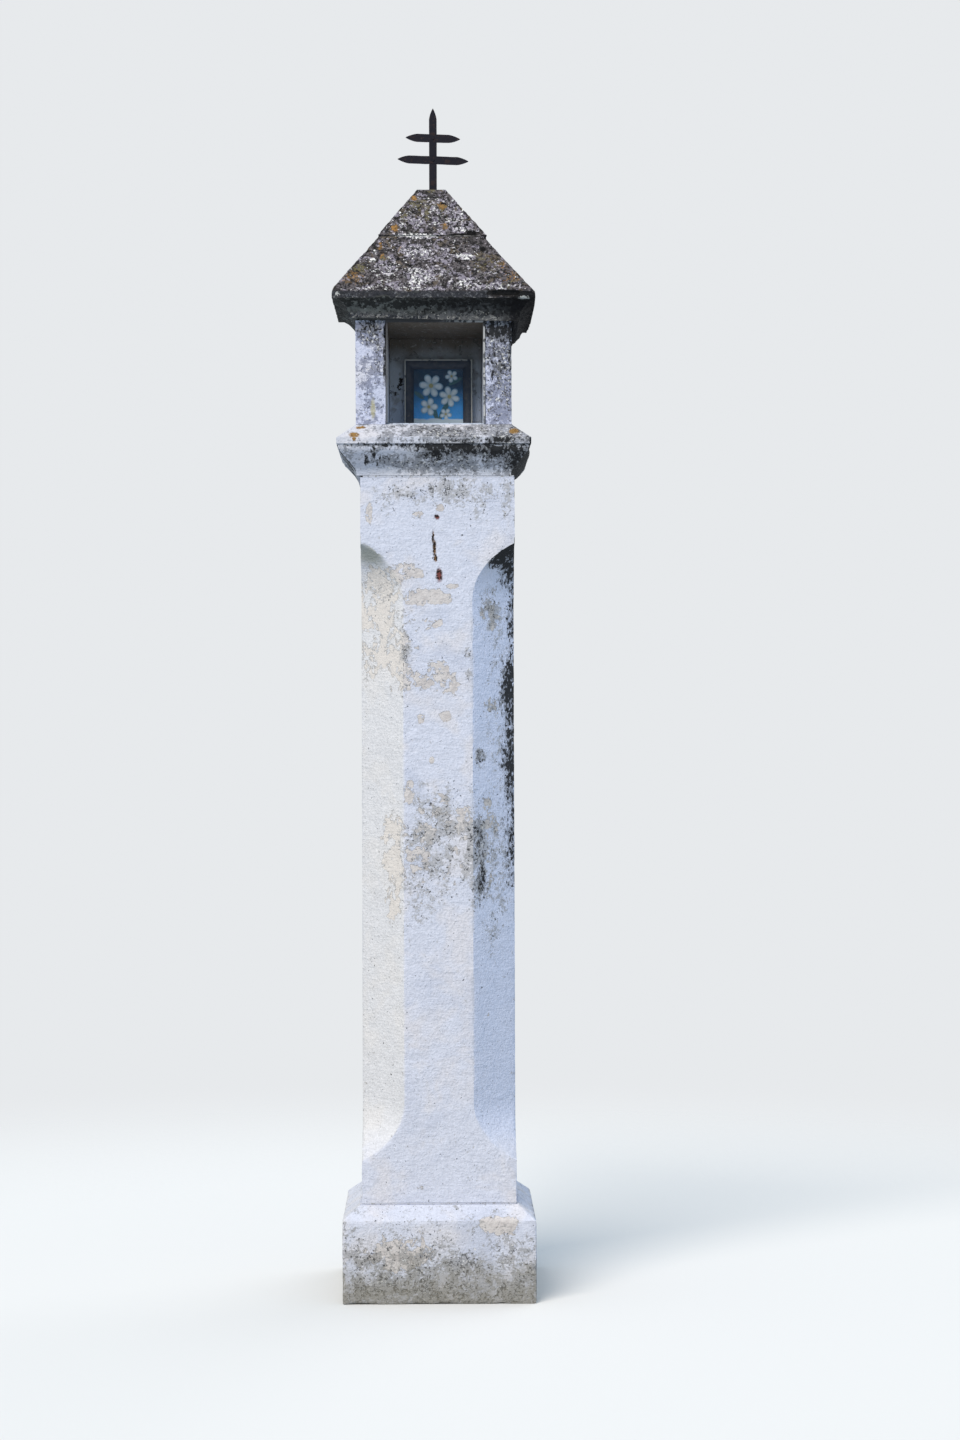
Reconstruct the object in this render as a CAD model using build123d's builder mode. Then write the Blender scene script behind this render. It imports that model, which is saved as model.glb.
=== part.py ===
# Wayside shrine: a lime-washed stone pillar that carries an open niche under a hipped stone roof
# with a double-barred iron cross. A framed picture stands in the niche.
# Millimetres, +Z up. The niche opens towards -Y. The origin is on the ground, under the middle of the
# niche head. The shaft stands a little to the right of it.

from build123d import *
import math
import os

os.makedirs("parts", exist_ok=True)

# Beds of mortar between the stones
bed_thickness = 5.0
bed_inset = 1.5

# Foot block and shaft
foot_width = 506.0
foot_height = 250.0
foot_slope_height = 34.0
foot_slope_run = 44.0
shaft_width = 406.0
shaft_height = 1896.0
corner_cut = 112.0
stop_drop = 150.0
top_block_height = 172.0
bottom_block_height = 110.0
shaft_offset = 9.0

# Capital under the niche: a reversed cyma swells out from the shaft to a square edge, sloped on top
capital_width = 509.0
neck_height = 2.0
cyma_radius = 28.0
cyma_turn = 45.0
capital_edge_height = 18.0
capital_slope_height = 39.0

# Niche head: two side walls and a back wall, lined with render
head_width = 410.0
head_height = 272.0
side_wall = 75.0
back_wall = 105.0
lining = 5.0
ceiling_drop = 5.0
floor_screed = 4.0
screed_setback = 8.0

# Eave stone: cavetto, square eave and the lower part of the roof
eave_foot_width = 444.0
eave_foot_height = 4.0
cavetto_radius = 40.0
eave_width = 530.0
eave_height = 20.0
lower_roof_height = 163.0
lower_roof_top_width = 283.0

# Cap stone: the upper part of the roof, set back a little on the lower part
cap_width = 272.0
cap_height = 137.0
cap_top_width = 76.0
cap_offset = -5.0

# Iron cross, forged from flat bar, bars halved into the upright
iron_width = 21.0
iron_thickness = 8.0
cross_height = 229.0
lower_bar_height = 89.0
upper_bar_height = 148.0
lower_bar_length = 191.0
upper_bar_length = 147.0
point_length = 31.0
point_bulge = 1.6
bar_tilt = 2.0
tang_length = 60.0
rivet_diameter = 6.0
rivet_head_diameter = 9.0
rivet_head_height = 1.6

# Socket for the cross's tang, run in with mortar
socket_margin = 6.0
collar_margin = 5.0
collar_height = 7.0

# Picture frame, leaning against the back of the niche
picture_width = 184.0
picture_height = 204.0
picture_right_gap = 20.0
picture_lean = 3.0
moulding_width = 25.0
moulding_depth = 16.0
rim_width = 3.0
rim_height = 2.0
sight_edge_depth = 9.5
rebate_width = 6.0
rebate_depth = 7.0
glass_thickness = 2.0
print_thickness = 1.0
board_thickness = 3.0
pane_clearance = 0.5
seat_clearance = 0.3

# Levels from the ground up
foot_top = foot_height
shaft_bottom = foot_top + bed_thickness
shaft_top = shaft_bottom + shaft_height
capital_bottom = shaft_top + bed_thickness
cyma_angle = math.radians(cyma_turn)
cyma_run = (capital_width - shaft_width) / 2
splay_run = cyma_run - 2 * cyma_radius * (1 - math.cos(cyma_angle))
cyma_height = splay_run / math.tan(cyma_angle) + 2 * cyma_radius * math.sin(cyma_angle)
capital_edge_bottom = capital_bottom + neck_height + cyma_height
capital_edge_top = capital_edge_bottom + capital_edge_height
capital_top = capital_edge_top + capital_slope_height
niche_floor = capital_top + floor_screed
head_top = capital_top + head_height
eave_stone_bottom = head_top + bed_thickness
niche_ceiling = head_top - ceiling_drop
eave_bottom = eave_stone_bottom + eave_foot_height + cavetto_radius
eave_top = eave_bottom + eave_height
lower_roof_top = eave_top + lower_roof_height
cap_bottom = lower_roof_top + bed_thickness
cap_top = cap_bottom + cap_height

# Niche space, in plan
head_front = -head_width / 2
head_back = head_width / 2
niche_back_face = head_back - back_wall
niche_half = head_width / 2 - side_wall
lined_half = niche_half - lining
lined_back = niche_back_face - lining


def finish(piece, name):
    """Label a finished piece and write it to its own file."""
    piece.part.label = name
    export_step(piece.part, f"parts/{name}.step")


def moulded_stone(half_profile, middle=0.0):
    """Square stone with the same moulding on all four sides, mitred at its corners.

    half_profile is the right-hand half of the front outline, from the bottom edge to the top edge.
    middle is how far to the right the stone stands.
    """
    reach = 2 * max(vertex.X for vertex in half_profile.vertices())
    front = Plane(origin=(middle, 0, 0), x_dir=(1, 0, 0), z_dir=(0, -1, 0))
    side = Plane(origin=(middle, 0, 0), x_dir=(0, 1, 0), z_dir=(1, 0, 0))
    with BuildPart() as stone:
        for side_plane, mode in ((front, Mode.ADD), (side, Mode.INTERSECT)):
            with BuildSketch(side_plane):
                with BuildLine():
                    add(half_profile)
                    Polyline(
                        half_profile @ 0,
                        (0, (half_profile @ 0).Y),
                        (0, (half_profile @ 1).Y),
                        half_profile @ 1,
                    )
                make_face()
                mirror(about=Plane.YZ)
            extrude(amount=reach, both=True, mode=mode)
    return stone


def mortar_bed(width, level, middle):
    """Thin square bed of mortar, raked back from the faces of the stones."""
    with BuildPart() as bed:
        with BuildSketch(Plane.XY.offset(level)):
            with Locations((middle, 0)):
                Rectangle(width - 2 * bed_inset, width - 2 * bed_inset)
        extrude(amount=bed_thickness)
    return bed


# Foot block: square, its top edge sloped to shed water
with BuildLine() as foot_profile:
    Polyline(
        (foot_width / 2, 0),
        (foot_width / 2, foot_top - foot_slope_height),
        (foot_width / 2 - foot_slope_run, foot_top),
    )
finish(moulded_stone(foot_profile.line, shaft_offset), "foot_block")

foot_bed = mortar_bed(shaft_width, foot_top, shaft_offset)
finish(foot_bed, "foot_bed")

# Shaft: square blocks at both ends, the corners between them cut back to an octagon.
# Each cut runs out at both ends in a round stop, worked in the plane of the diagonal.
diagonal_reach = shaft_width / math.sqrt(2)
cut_depth = corner_cut / math.sqrt(2)
cut_face = diagonal_reach - cut_depth
stop_top = shaft_top - top_block_height
stop_bottom = shaft_bottom + bottom_block_height
stop_radius = (cut_depth**2 + stop_drop**2) / (2 * cut_depth)

with BuildPart() as shaft:
    with BuildSketch(Plane.XY.offset(shaft_bottom)):
        with Locations((shaft_offset, 0)):
            Rectangle(shaft_width, shaft_width)
    extrude(amount=shaft_height)
    for corner in range(4):
        bearing = math.radians(45 + 90 * corner)
        outward = Vector(math.cos(bearing), math.sin(bearing), 0)
        across = Vector(math.sin(bearing), -math.cos(bearing), 0)
        with BuildSketch(Plane(origin=(shaft_offset, 0, 0), x_dir=outward, z_dir=across)):
            with BuildLine():
                Line((cut_face, stop_bottom + stop_drop), (cut_face, stop_top - stop_drop))
                RadiusArc((cut_face, stop_top - stop_drop), (diagonal_reach, stop_top), stop_radius)
                Line((diagonal_reach, stop_top), (diagonal_reach + cut_depth, stop_top))
                Line((diagonal_reach + cut_depth, stop_top), (diagonal_reach + cut_depth, stop_bottom))
                Line((diagonal_reach + cut_depth, stop_bottom), (diagonal_reach, stop_bottom))
                RadiusArc((diagonal_reach, stop_bottom), (cut_face, stop_bottom + stop_drop), stop_radius)
            make_face()
        extrude(amount=corner_cut, both=True, mode=Mode.SUBTRACT)
finish(shaft, "shaft")

capital_bed = mortar_bed(shaft_width, shaft_top, shaft_offset)
finish(capital_bed, "capital_bed")

# Capital: from the neck a hollow turns out, a splay carries it on and a round turns it upright again
with BuildLine() as capital_profile:
    neck = Line((shaft_width / 2, capital_bottom), (shaft_width / 2, capital_bottom + neck_height))
    hollow = JernArc(neck @ 1, (0, 1), cyma_radius, -cyma_turn)
    round_start = (
        capital_width / 2 - cyma_radius * (1 - math.cos(cyma_angle)),
        capital_edge_bottom - cyma_radius * math.sin(cyma_angle),
    )
    Line(hollow @ 1, round_start)
    JernArc(round_start, hollow % 1, cyma_radius, cyma_turn)
    Polyline(
        (capital_width / 2, capital_edge_bottom),
        (capital_width / 2, capital_edge_top),
        (head_width / 2, capital_top),
    )
finish(moulded_stone(capital_profile.line), "capital")


def upright_slab(x_from, x_to, y_from, y_to, z_from, z_to):
    """Plain wall or layer between two corners."""
    with BuildPart() as slab:
        with BuildSketch(Plane.XY.offset(z_from)):
            with Locations(((x_from + x_to) / 2, (y_from + y_to) / 2)):
                Rectangle(x_to - x_from, y_to - y_from)
        extrude(amount=z_to - z_from)
    return slab


# Niche walls: the side walls run the whole depth and the back wall stands between them
left_wall = upright_slab(head_front, -niche_half, head_front, head_back, capital_top, head_top)
finish(left_wall, "head_left_wall")

right_wall = upright_slab(niche_half, head_back, head_front, head_back, capital_top, head_top)
finish(right_wall, "head_right_wall")

back_wall_stone = upright_slab(-niche_half, niche_half, niche_back_face, head_back, capital_top, head_top)
finish(back_wall_stone, "head_back_wall")

# Render inside the niche: screed on the floor, thin coats on the walls, a ceiling coat under the eave stone
floor_layer = upright_slab(
    -niche_half, niche_half, head_front + screed_setback, niche_back_face, capital_top, niche_floor
)
finish(floor_layer, "niche_floor")

left_lining = upright_slab(
    -niche_half, -lined_half, head_front, niche_back_face, niche_floor, niche_ceiling
)
finish(left_lining, "niche_left_lining")

right_lining = upright_slab(
    lined_half, niche_half, head_front, niche_back_face, niche_floor, niche_ceiling
)
finish(right_lining, "niche_right_lining")

back_lining = upright_slab(
    -lined_half, lined_half, lined_back, niche_back_face, niche_floor, niche_ceiling
)
finish(back_lining, "niche_back_lining")

ceiling_layer = upright_slab(
    -niche_half, niche_half, head_front, niche_back_face, niche_ceiling, eave_stone_bottom
)
finish(ceiling_layer, "niche_ceiling")

# Bed under the eave stone: over the walls only, open over the niche
with BuildPart() as eave_bed:
    with BuildSketch(Plane.XY.offset(head_top)):
        Rectangle(head_width - 2 * bed_inset, head_width - 2 * bed_inset)
        with Locations((0, (head_front + niche_back_face) / 2)):
            Rectangle(2 * niche_half, niche_back_face - head_front, mode=Mode.SUBTRACT)
    extrude(amount=bed_thickness)
finish(eave_bed, "eave_bed")

# Eave stone: upright foot, cavetto and square eave, then the lower slope of the roof
with BuildLine() as eave_profile:
    foot_line = Line(
        (eave_foot_width / 2, eave_stone_bottom),
        (eave_foot_width / 2, eave_stone_bottom + eave_foot_height),
    )
    cavetto = JernArc(foot_line @ 1, (0, 1), cavetto_radius, -90)
    Polyline(
        cavetto @ 1,
        (eave_width / 2, eave_bottom),
        (eave_width / 2, eave_top),
        (lower_roof_top_width / 2, lower_roof_top),
    )
finish(moulded_stone(eave_profile.line), "eave_stone")

cap_bed = mortar_bed(cap_width, lower_roof_top, cap_offset)
finish(cap_bed, "cap_bed")

# Cap stone, with a square socket in its top for the foot of the cross
socket_width = iron_width + 2 * socket_margin
socket_depth = iron_thickness + 2 * socket_margin
socket_bottom = cap_top - tang_length - socket_margin

with BuildPart() as cap_stone:
    with BuildSketch(Plane.XY.offset(cap_bottom)):
        with Locations((cap_offset, 0)):
            Rectangle(cap_width, cap_width)
    with BuildSketch(Plane.XY.offset(cap_top)):
        with Locations((cap_offset, 0)):
            Rectangle(cap_top_width, cap_top_width)
    loft()
    with BuildSketch(Plane.XY.offset(socket_bottom)):
        Rectangle(socket_width, socket_depth)
    extrude(amount=cap_top - socket_bottom, mode=Mode.SUBTRACT)
finish(cap_stone, "cap_stone")

# Mortar that holds the cross: it fills the socket and stands up as a low collar
collar_width = socket_width + 2 * collar_margin
collar_depth = socket_depth + 2 * collar_margin

with BuildPart() as cross_socket:
    with BuildSketch(Plane.XY.offset(socket_bottom)):
        Rectangle(socket_width, socket_depth)
    extrude(amount=cap_top - socket_bottom)
    with BuildSketch(Plane.XY.offset(cap_top)):
        Rectangle(collar_width, collar_depth)
    with BuildSketch(Plane.XY.offset(cap_top + collar_height)):
        Rectangle(iron_width + collar_margin, iron_thickness + collar_margin)
    loft()
    with BuildSketch(Plane.XY.offset(cap_top - tang_length)):
        Rectangle(iron_width, iron_thickness)
    extrude(amount=tang_length + collar_height, mode=Mode.SUBTRACT)
finish(cross_socket, "cross_socket")


def bar_plane(height):
    """Plane of a cross bar, facing the front and tilted as the bar hangs."""
    tilt = math.radians(bar_tilt)
    return Plane(
        origin=(0, 0, cap_top + height),
        x_dir=(math.cos(tilt), 0, -math.sin(tilt)),
        z_dir=(0, -1, 0),
    )


def pointed_bar(length):
    """Outline of a cross bar, its ends drawn out to slightly bowed points."""
    shoulder = length / 2 - point_length
    half = iron_width / 2
    with BuildLine() as outline:
        for side in (1, -1):
            Line((-shoulder, side * half), (shoulder, side * half))
            SagittaArc((shoulder, side * half), (length / 2, 0), side * point_bulge)
            SagittaArc((-shoulder, side * half), (-length / 2, 0), -side * point_bulge)
    return outline.edges()


front_plane = Plane(origin=(0, 0, cap_top), x_dir=(1, 0, 0), z_dir=(0, -1, 0))
bars = {
    "lower": (lower_bar_length, lower_bar_height),
    "upper": (upper_bar_length, upper_bar_height),
}

# Upright of the cross: its front half is cut away where each bar crosses it
with BuildPart() as cross_upright:
    with BuildSketch(front_plane):
        half_iron = iron_width / 2
        shoulder_height = cross_height - point_length
        with BuildLine():
            Line((-half_iron, -tang_length), (half_iron, -tang_length))
            Line((half_iron, -tang_length), (half_iron, shoulder_height))
            SagittaArc((half_iron, shoulder_height), (0, cross_height), -point_bulge)
            SagittaArc((0, cross_height), (-half_iron, shoulder_height), -point_bulge)
            Line((-half_iron, shoulder_height), (-half_iron, -tang_length))
        make_face()
    extrude(amount=iron_thickness / 2, both=True)
    for bar_length, bar_height in bars.values():
        with BuildSketch(bar_plane(bar_height)):
            make_face(pointed_bar(bar_length))
        extrude(amount=iron_thickness / 2, mode=Mode.SUBTRACT)
        with BuildSketch(front_plane):
            with Locations((0, bar_height)):
                Circle(rivet_diameter / 2)
        extrude(amount=iron_thickness / 2, both=True, mode=Mode.SUBTRACT)
finish(cross_upright, "cross_upright")

# Bars of the cross, the back half cut away to take the upright, each held by one rivet
for bar_name, (bar_length, bar_height) in bars.items():
    with BuildPart() as cross_bar:
        with BuildSketch(bar_plane(bar_height)):
            make_face(pointed_bar(bar_length))
        extrude(amount=iron_thickness / 2, both=True)
        with BuildSketch(front_plane):
            with Locations((0, bar_height)):
                Rectangle(iron_width, 2 * iron_width)
        extrude(amount=-iron_thickness / 2, mode=Mode.SUBTRACT)
        with BuildSketch(front_plane):
            with Locations((0, bar_height)):
                Circle(rivet_diameter / 2)
        extrude(amount=iron_thickness / 2, both=True, mode=Mode.SUBTRACT)
    finish(cross_bar, f"cross_{bar_name}_bar")

    with BuildPart() as rivet:
        with BuildSketch(front_plane):
            with Locations((0, bar_height)):
                Circle(rivet_diameter / 2)
        extrude(amount=iron_thickness / 2, both=True)
        for face_side in (1, -1):
            with BuildSketch(front_plane.offset(face_side * iron_thickness / 2)):
                with Locations((0, bar_height)):
                    Circle(rivet_head_diameter / 2)
            extrude(amount=face_side * rivet_head_height, taper=30)
    finish(rivet, f"cross_{bar_name}_rivet")

# Picture frame: four mitred lengths of one moulding. The frame's foot stands on the screed, a
# little out from the wall, and its top edge rests against the lining.
lean = math.radians(picture_lean)
frame_right = Vector(1, 0, 0)
frame_up = Vector(0, math.sin(lean), math.cos(lean))
frame_front = Vector(0, -math.cos(lean), math.sin(lean))
foot_y = lined_back - seat_clearance - picture_height * math.sin(lean)
foot_x = lined_half - picture_right_gap - picture_width / 2
frame_foot = Vector(foot_x, foot_y, niche_floor + seat_clearance)
frame_centre = frame_foot + frame_up * (picture_height / 2)


def frame_member(turn):
    """One length of moulding: its section drawn across it, run along the side, mitred at both ends."""
    angle = math.radians(turn)
    along = frame_right * math.cos(angle) + frame_up * math.sin(angle)
    inward = frame_up * math.cos(angle) - frame_right * math.sin(angle)
    sideways = turn % 180 == 90
    half_length = (picture_height if sideways else picture_width) / 2
    reach = (picture_width if sideways else picture_height) / 2
    edge_middle = frame_centre - inward * reach
    with BuildPart() as member:
        with BuildSketch(Plane(origin=edge_middle, x_dir=inward, z_dir=along)):
            with BuildLine():
                Polyline(
                    (moulding_width - rebate_width, rebate_depth),
                    (moulding_width - rebate_width, 0),
                    (0, 0),
                    (0, moulding_depth),
                    (rim_width, moulding_depth),
                    (rim_width, moulding_depth - rim_height),
                )
                hollow_start = (rim_width, moulding_depth - rim_height)
                hollow_end = (moulding_width, sight_edge_depth)
                SagittaArc(hollow_start, hollow_end, rim_height)
                Polyline(
                    (moulding_width, sight_edge_depth),
                    (moulding_width, rebate_depth),
                    (moulding_width - rebate_width, rebate_depth),
                )
            make_face()
        extrude(amount=half_length, both=True)
        for end in (1, -1):
            corner = edge_middle + along * (end * half_length)
            mitre = Plane(origin=corner, x_dir=frame_front, z_dir=along * end + inward)
            split(bisect_by=mitre, keep=Keep.BOTTOM)
    return member


for member_name, turn in (("bottom", 0), ("right", 90), ("top", 180), ("left", 270)):
    finish(frame_member(turn), f"picture_frame_{member_name}")


def pane(back_depth, thickness):
    """Flat sheet that lies in the frame's rebate, back_depth in front of the frame's back."""
    sheet_width = picture_width - 2 * (moulding_width - rebate_width + pane_clearance)
    sheet_height = picture_height - 2 * (moulding_width - rebate_width + pane_clearance)
    sheet_plane = Plane(origin=frame_centre, x_dir=frame_right, z_dir=frame_front)
    with BuildPart() as sheet:
        with BuildSketch(sheet_plane.offset(back_depth)):
            Rectangle(sheet_width, sheet_height)
        extrude(amount=thickness)
    return sheet


# Glass, print and backing board, laid in from the back
glass_back = rebate_depth - glass_thickness
print_back = glass_back - print_thickness
board_back = print_back - board_thickness
finish(pane(glass_back, glass_thickness), "picture_glass")
finish(pane(print_back, print_thickness), "picture_print")
finish(pane(board_back, board_thickness), "picture_board")
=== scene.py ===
# Wayside shrine: the weathered look of a lime-washed stone pillar with an open niche, a lichened
# stone roof, an iron cross and a framed picture. Metres, +Z up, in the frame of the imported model.

import math

import bmesh
import bpy
import numpy as np
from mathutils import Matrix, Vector, noise


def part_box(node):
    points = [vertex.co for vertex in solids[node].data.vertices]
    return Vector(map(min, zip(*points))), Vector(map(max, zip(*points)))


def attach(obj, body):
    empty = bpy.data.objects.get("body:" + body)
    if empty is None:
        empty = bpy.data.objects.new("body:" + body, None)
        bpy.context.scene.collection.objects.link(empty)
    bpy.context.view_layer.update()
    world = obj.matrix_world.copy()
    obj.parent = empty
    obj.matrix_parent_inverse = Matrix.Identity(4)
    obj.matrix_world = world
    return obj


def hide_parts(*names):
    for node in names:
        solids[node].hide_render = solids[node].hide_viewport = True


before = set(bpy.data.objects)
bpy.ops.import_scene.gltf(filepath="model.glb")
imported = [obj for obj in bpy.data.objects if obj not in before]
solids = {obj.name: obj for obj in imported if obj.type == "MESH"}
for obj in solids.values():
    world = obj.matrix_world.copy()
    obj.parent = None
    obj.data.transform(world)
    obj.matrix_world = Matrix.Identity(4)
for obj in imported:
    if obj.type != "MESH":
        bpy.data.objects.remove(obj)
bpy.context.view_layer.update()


# Foot block: one squared stone, its top edge sloped to shed rain, lime-washed like the shaft. Rain
# splash has greyed it near the ground and its arrises have worn round.


class Signal:
    """What one socket of a shader node gives. Arithmetic on signals adds Math nodes."""

    def __init__(self, finish, socket):
        self.finish = finish
        self.socket = socket

    def __add__(self, other):
        return self.finish.math("ADD", self, other)

    def __sub__(self, other):
        return self.finish.math("SUBTRACT", self, other)

    def __rsub__(self, other):
        return self.finish.math("SUBTRACT", other, self)

    def __mul__(self, other):
        return self.finish.math("MULTIPLY", self, other)

    def __truediv__(self, other):
        return self.finish.math("DIVIDE", self, other)

    def __rtruediv__(self, other):
        return self.finish.math("DIVIDE", other, self)

    __radd__ = __add__
    __rmul__ = __mul__

    def rise(self, low, high):
        """0 up to low and 1 from high on, smooth between; it falls where high is under low."""
        sockets = {"Value": self, "From Min": low, "From Max": high}
        return self.finish.node("ShaderNodeMapRange", {"interpolation_type": "SMOOTHSTEP"}, sockets)


class Finish:
    """A surface finish laid on coat by coat: its nodes, its colour and its height so far."""

    def __init__(self, owner, colour=(0.8, 0.8, 0.8)):
        owner.use_nodes = True
        self.owner = owner
        self.tree = owner.node_tree
        self.tree.nodes.clear()
        self.place = self.node("ShaderNodeTexCoord", output="Object")
        self.facing = self.node("ShaderNodeTexCoord", output="Normal")
        self.colour = colour
        self.height = 0.0
        self.strays = {}

    def node(self, kind, settings=None, sockets=None, output=0):
        """Add a node: its settings first, then the values or links of its sockets."""
        made = self.tree.nodes.new(kind)
        for setting, value in (settings or {}).items():
            setattr(made, setting, value)
        for name, value in (sockets or {}).items():
            socket = made.inputs[name]
            if isinstance(value, Signal):
                self.tree.links.new(value.socket, socket)
            elif socket.type == "RGBA":
                socket.default_value = (*value, 1.0)
            else:
                socket.default_value = value
        return Signal(self, made.outputs[output]) if made.outputs else None

    def math(self, operation, first, second=0.0):
        """One or two values through a Math node."""
        return self.node("ShaderNodeMath", {"operation": operation}, {0: first, 1: second})

    def vector(self, operation, first, second=(0, 0, 0), output=0):
        """One or two vectors through a Vector Math node."""
        return self.node("ShaderNodeVectorMath", {"operation": operation}, {0: first, 1: second}, output)

    def along(self, direction):
        """How far the surface's place lies along a direction, in metres."""
        return self.vector("DOT_PRODUCT", self.place, direction, "Value")

    def towards(self, direction):
        """How squarely the surface faces a direction, from -1 to 1."""
        return self.vector("DOT_PRODUCT", self.facing, direction, "Value")

    def grain(self, size, detail=3.0, rough=0.6, stretch=(1, 1, 1), shift=0.0):
        """Soft lumps about size across, around 0.5. stretch draws them out along X, Y or Z, and
        shift gives other lumps of the same kind."""
        per_metre = tuple(1 / (size * share) for share in stretch)
        sockets = {0: self.place, 1: per_metre, 2: (shift, shift, shift)}
        place = self.node("ShaderNodeVectorMath", {"operation": "MULTIPLY_ADD"}, sockets)
        sockets = {"Vector": place, "Scale": 1.0, "Detail": detail, "Roughness": rough, "Distortion": 0.4}
        return self.node("ShaderNodeTexNoise", {}, sockets)

    def flecks(self, size, share, shift=0.0, stretch=(1, 1, 1)):
        """Crisp ragged flecks about size across that cover about that share of the surface."""
        clouds = self.grain(2.2 * size, stretch=stretch, shift=shift)
        return (clouds + share * 0.42).rise(0.695, 0.735)

    def stray(self, reach):
        """The surface's own place, led astray by up to about that reach, for ragged outlines."""
        if reach not in self.strays:
            sockets = {"Vector": self.place, "Scale": 0.35 / reach, "Detail": 3.0, "Roughness": 0.6}
            clouds = self.node("ShaderNodeTexNoise", {}, sockets, "Color")
            centred = self.vector("SUBTRACT", clouds, (0.5, 0.5, 0.5))
            sockets = {0: centred, 1: (4 * reach, 4 * reach, 4 * reach), 2: self.place}
            self.strays[reach] = self.node("ShaderNodeVectorMath", {"operation": "MULTIPLY_ADD"}, sockets)
        return self.strays[reach]

    def blot(self, centre, half_size, soft=0.3):
        """1 inside a ragged blot with that centre and those half sizes, 0 outside it. A larger
        blot has a more ragged outline."""
        large = min(half_size[0], half_size[2]) > 0.018
        reach = 0.012 if large else 0.003
        gap = self.vector("SUBTRACT", self.stray(reach), centre)
        share = self.vector("DIVIDE", gap, half_size)
        return self.vector("LENGTH", share, output="Value").rise(1 + soft, 1 - soft)

    def blots(self, places, soft=0.3):
        """Several blots as one mask. Each is a centre, half sizes and how strong it is."""
        mask = 0.0
        for centre, half_size, strength in places:
            mask = self.math("MAXIMUM", self.blot(centre, half_size, soft) * strength, mask)
        return mask

    def blend(self, under, over, mask):
        """The colour over where mask is 1 and the colour under where it is 0."""
        return self.node("ShaderNodeMix", {"data_type": "RGBA"}, {0: mask, 6: under, 7: over}, 2)

    def coat(self, colour, mask, thickness=0.0):
        """Lay a colour on where mask is 1, and raise the surface there by thickness."""
        self.colour = self.blend(self.colour, colour, mask)
        if thickness:
            self.height = mask * thickness + self.height

    def shade(self, factor):
        """Darken or lighten the colour so far by a factor."""
        sockets = {0: self.colour, "Scale": factor}
        self.colour = self.node("ShaderNodeVectorMath", {"operation": "SCALE"}, sockets)

    def either(self, share, first, second):
        """The second shader where share is 1 and the first where it is 0."""
        return self.node("ShaderNodeMixShader", {}, {0: share, 1: first, 2: second})

    def covered(self, shader):
        """Cover the surface with a shader and give the material."""
        self.node("ShaderNodeOutputMaterial", {}, {"Surface": shader})
        return self.owner

    def done(self, roughness=0.9, gloss=0.15):
        """Join the colour and the height to a shader and give the material. Dry stone has no
        more than a faint gloss."""
        bump = self.node("ShaderNodeBump", {}, {"Strength": 1.0, "Distance": 1.0, "Height": self.height})
        sockets = {"Base Color": self.colour, "Roughness": roughness, "Specular IOR Level": gloss}
        sockets["Normal"] = bump
        return self.covered(self.node("ShaderNodeBsdfPrincipled", {}, sockets))


def new_finish(name, colour=(0.8, 0.8, 0.8)):
    """A finish for a new material."""
    return Finish(bpy.data.materials.new(name), colour)


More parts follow.
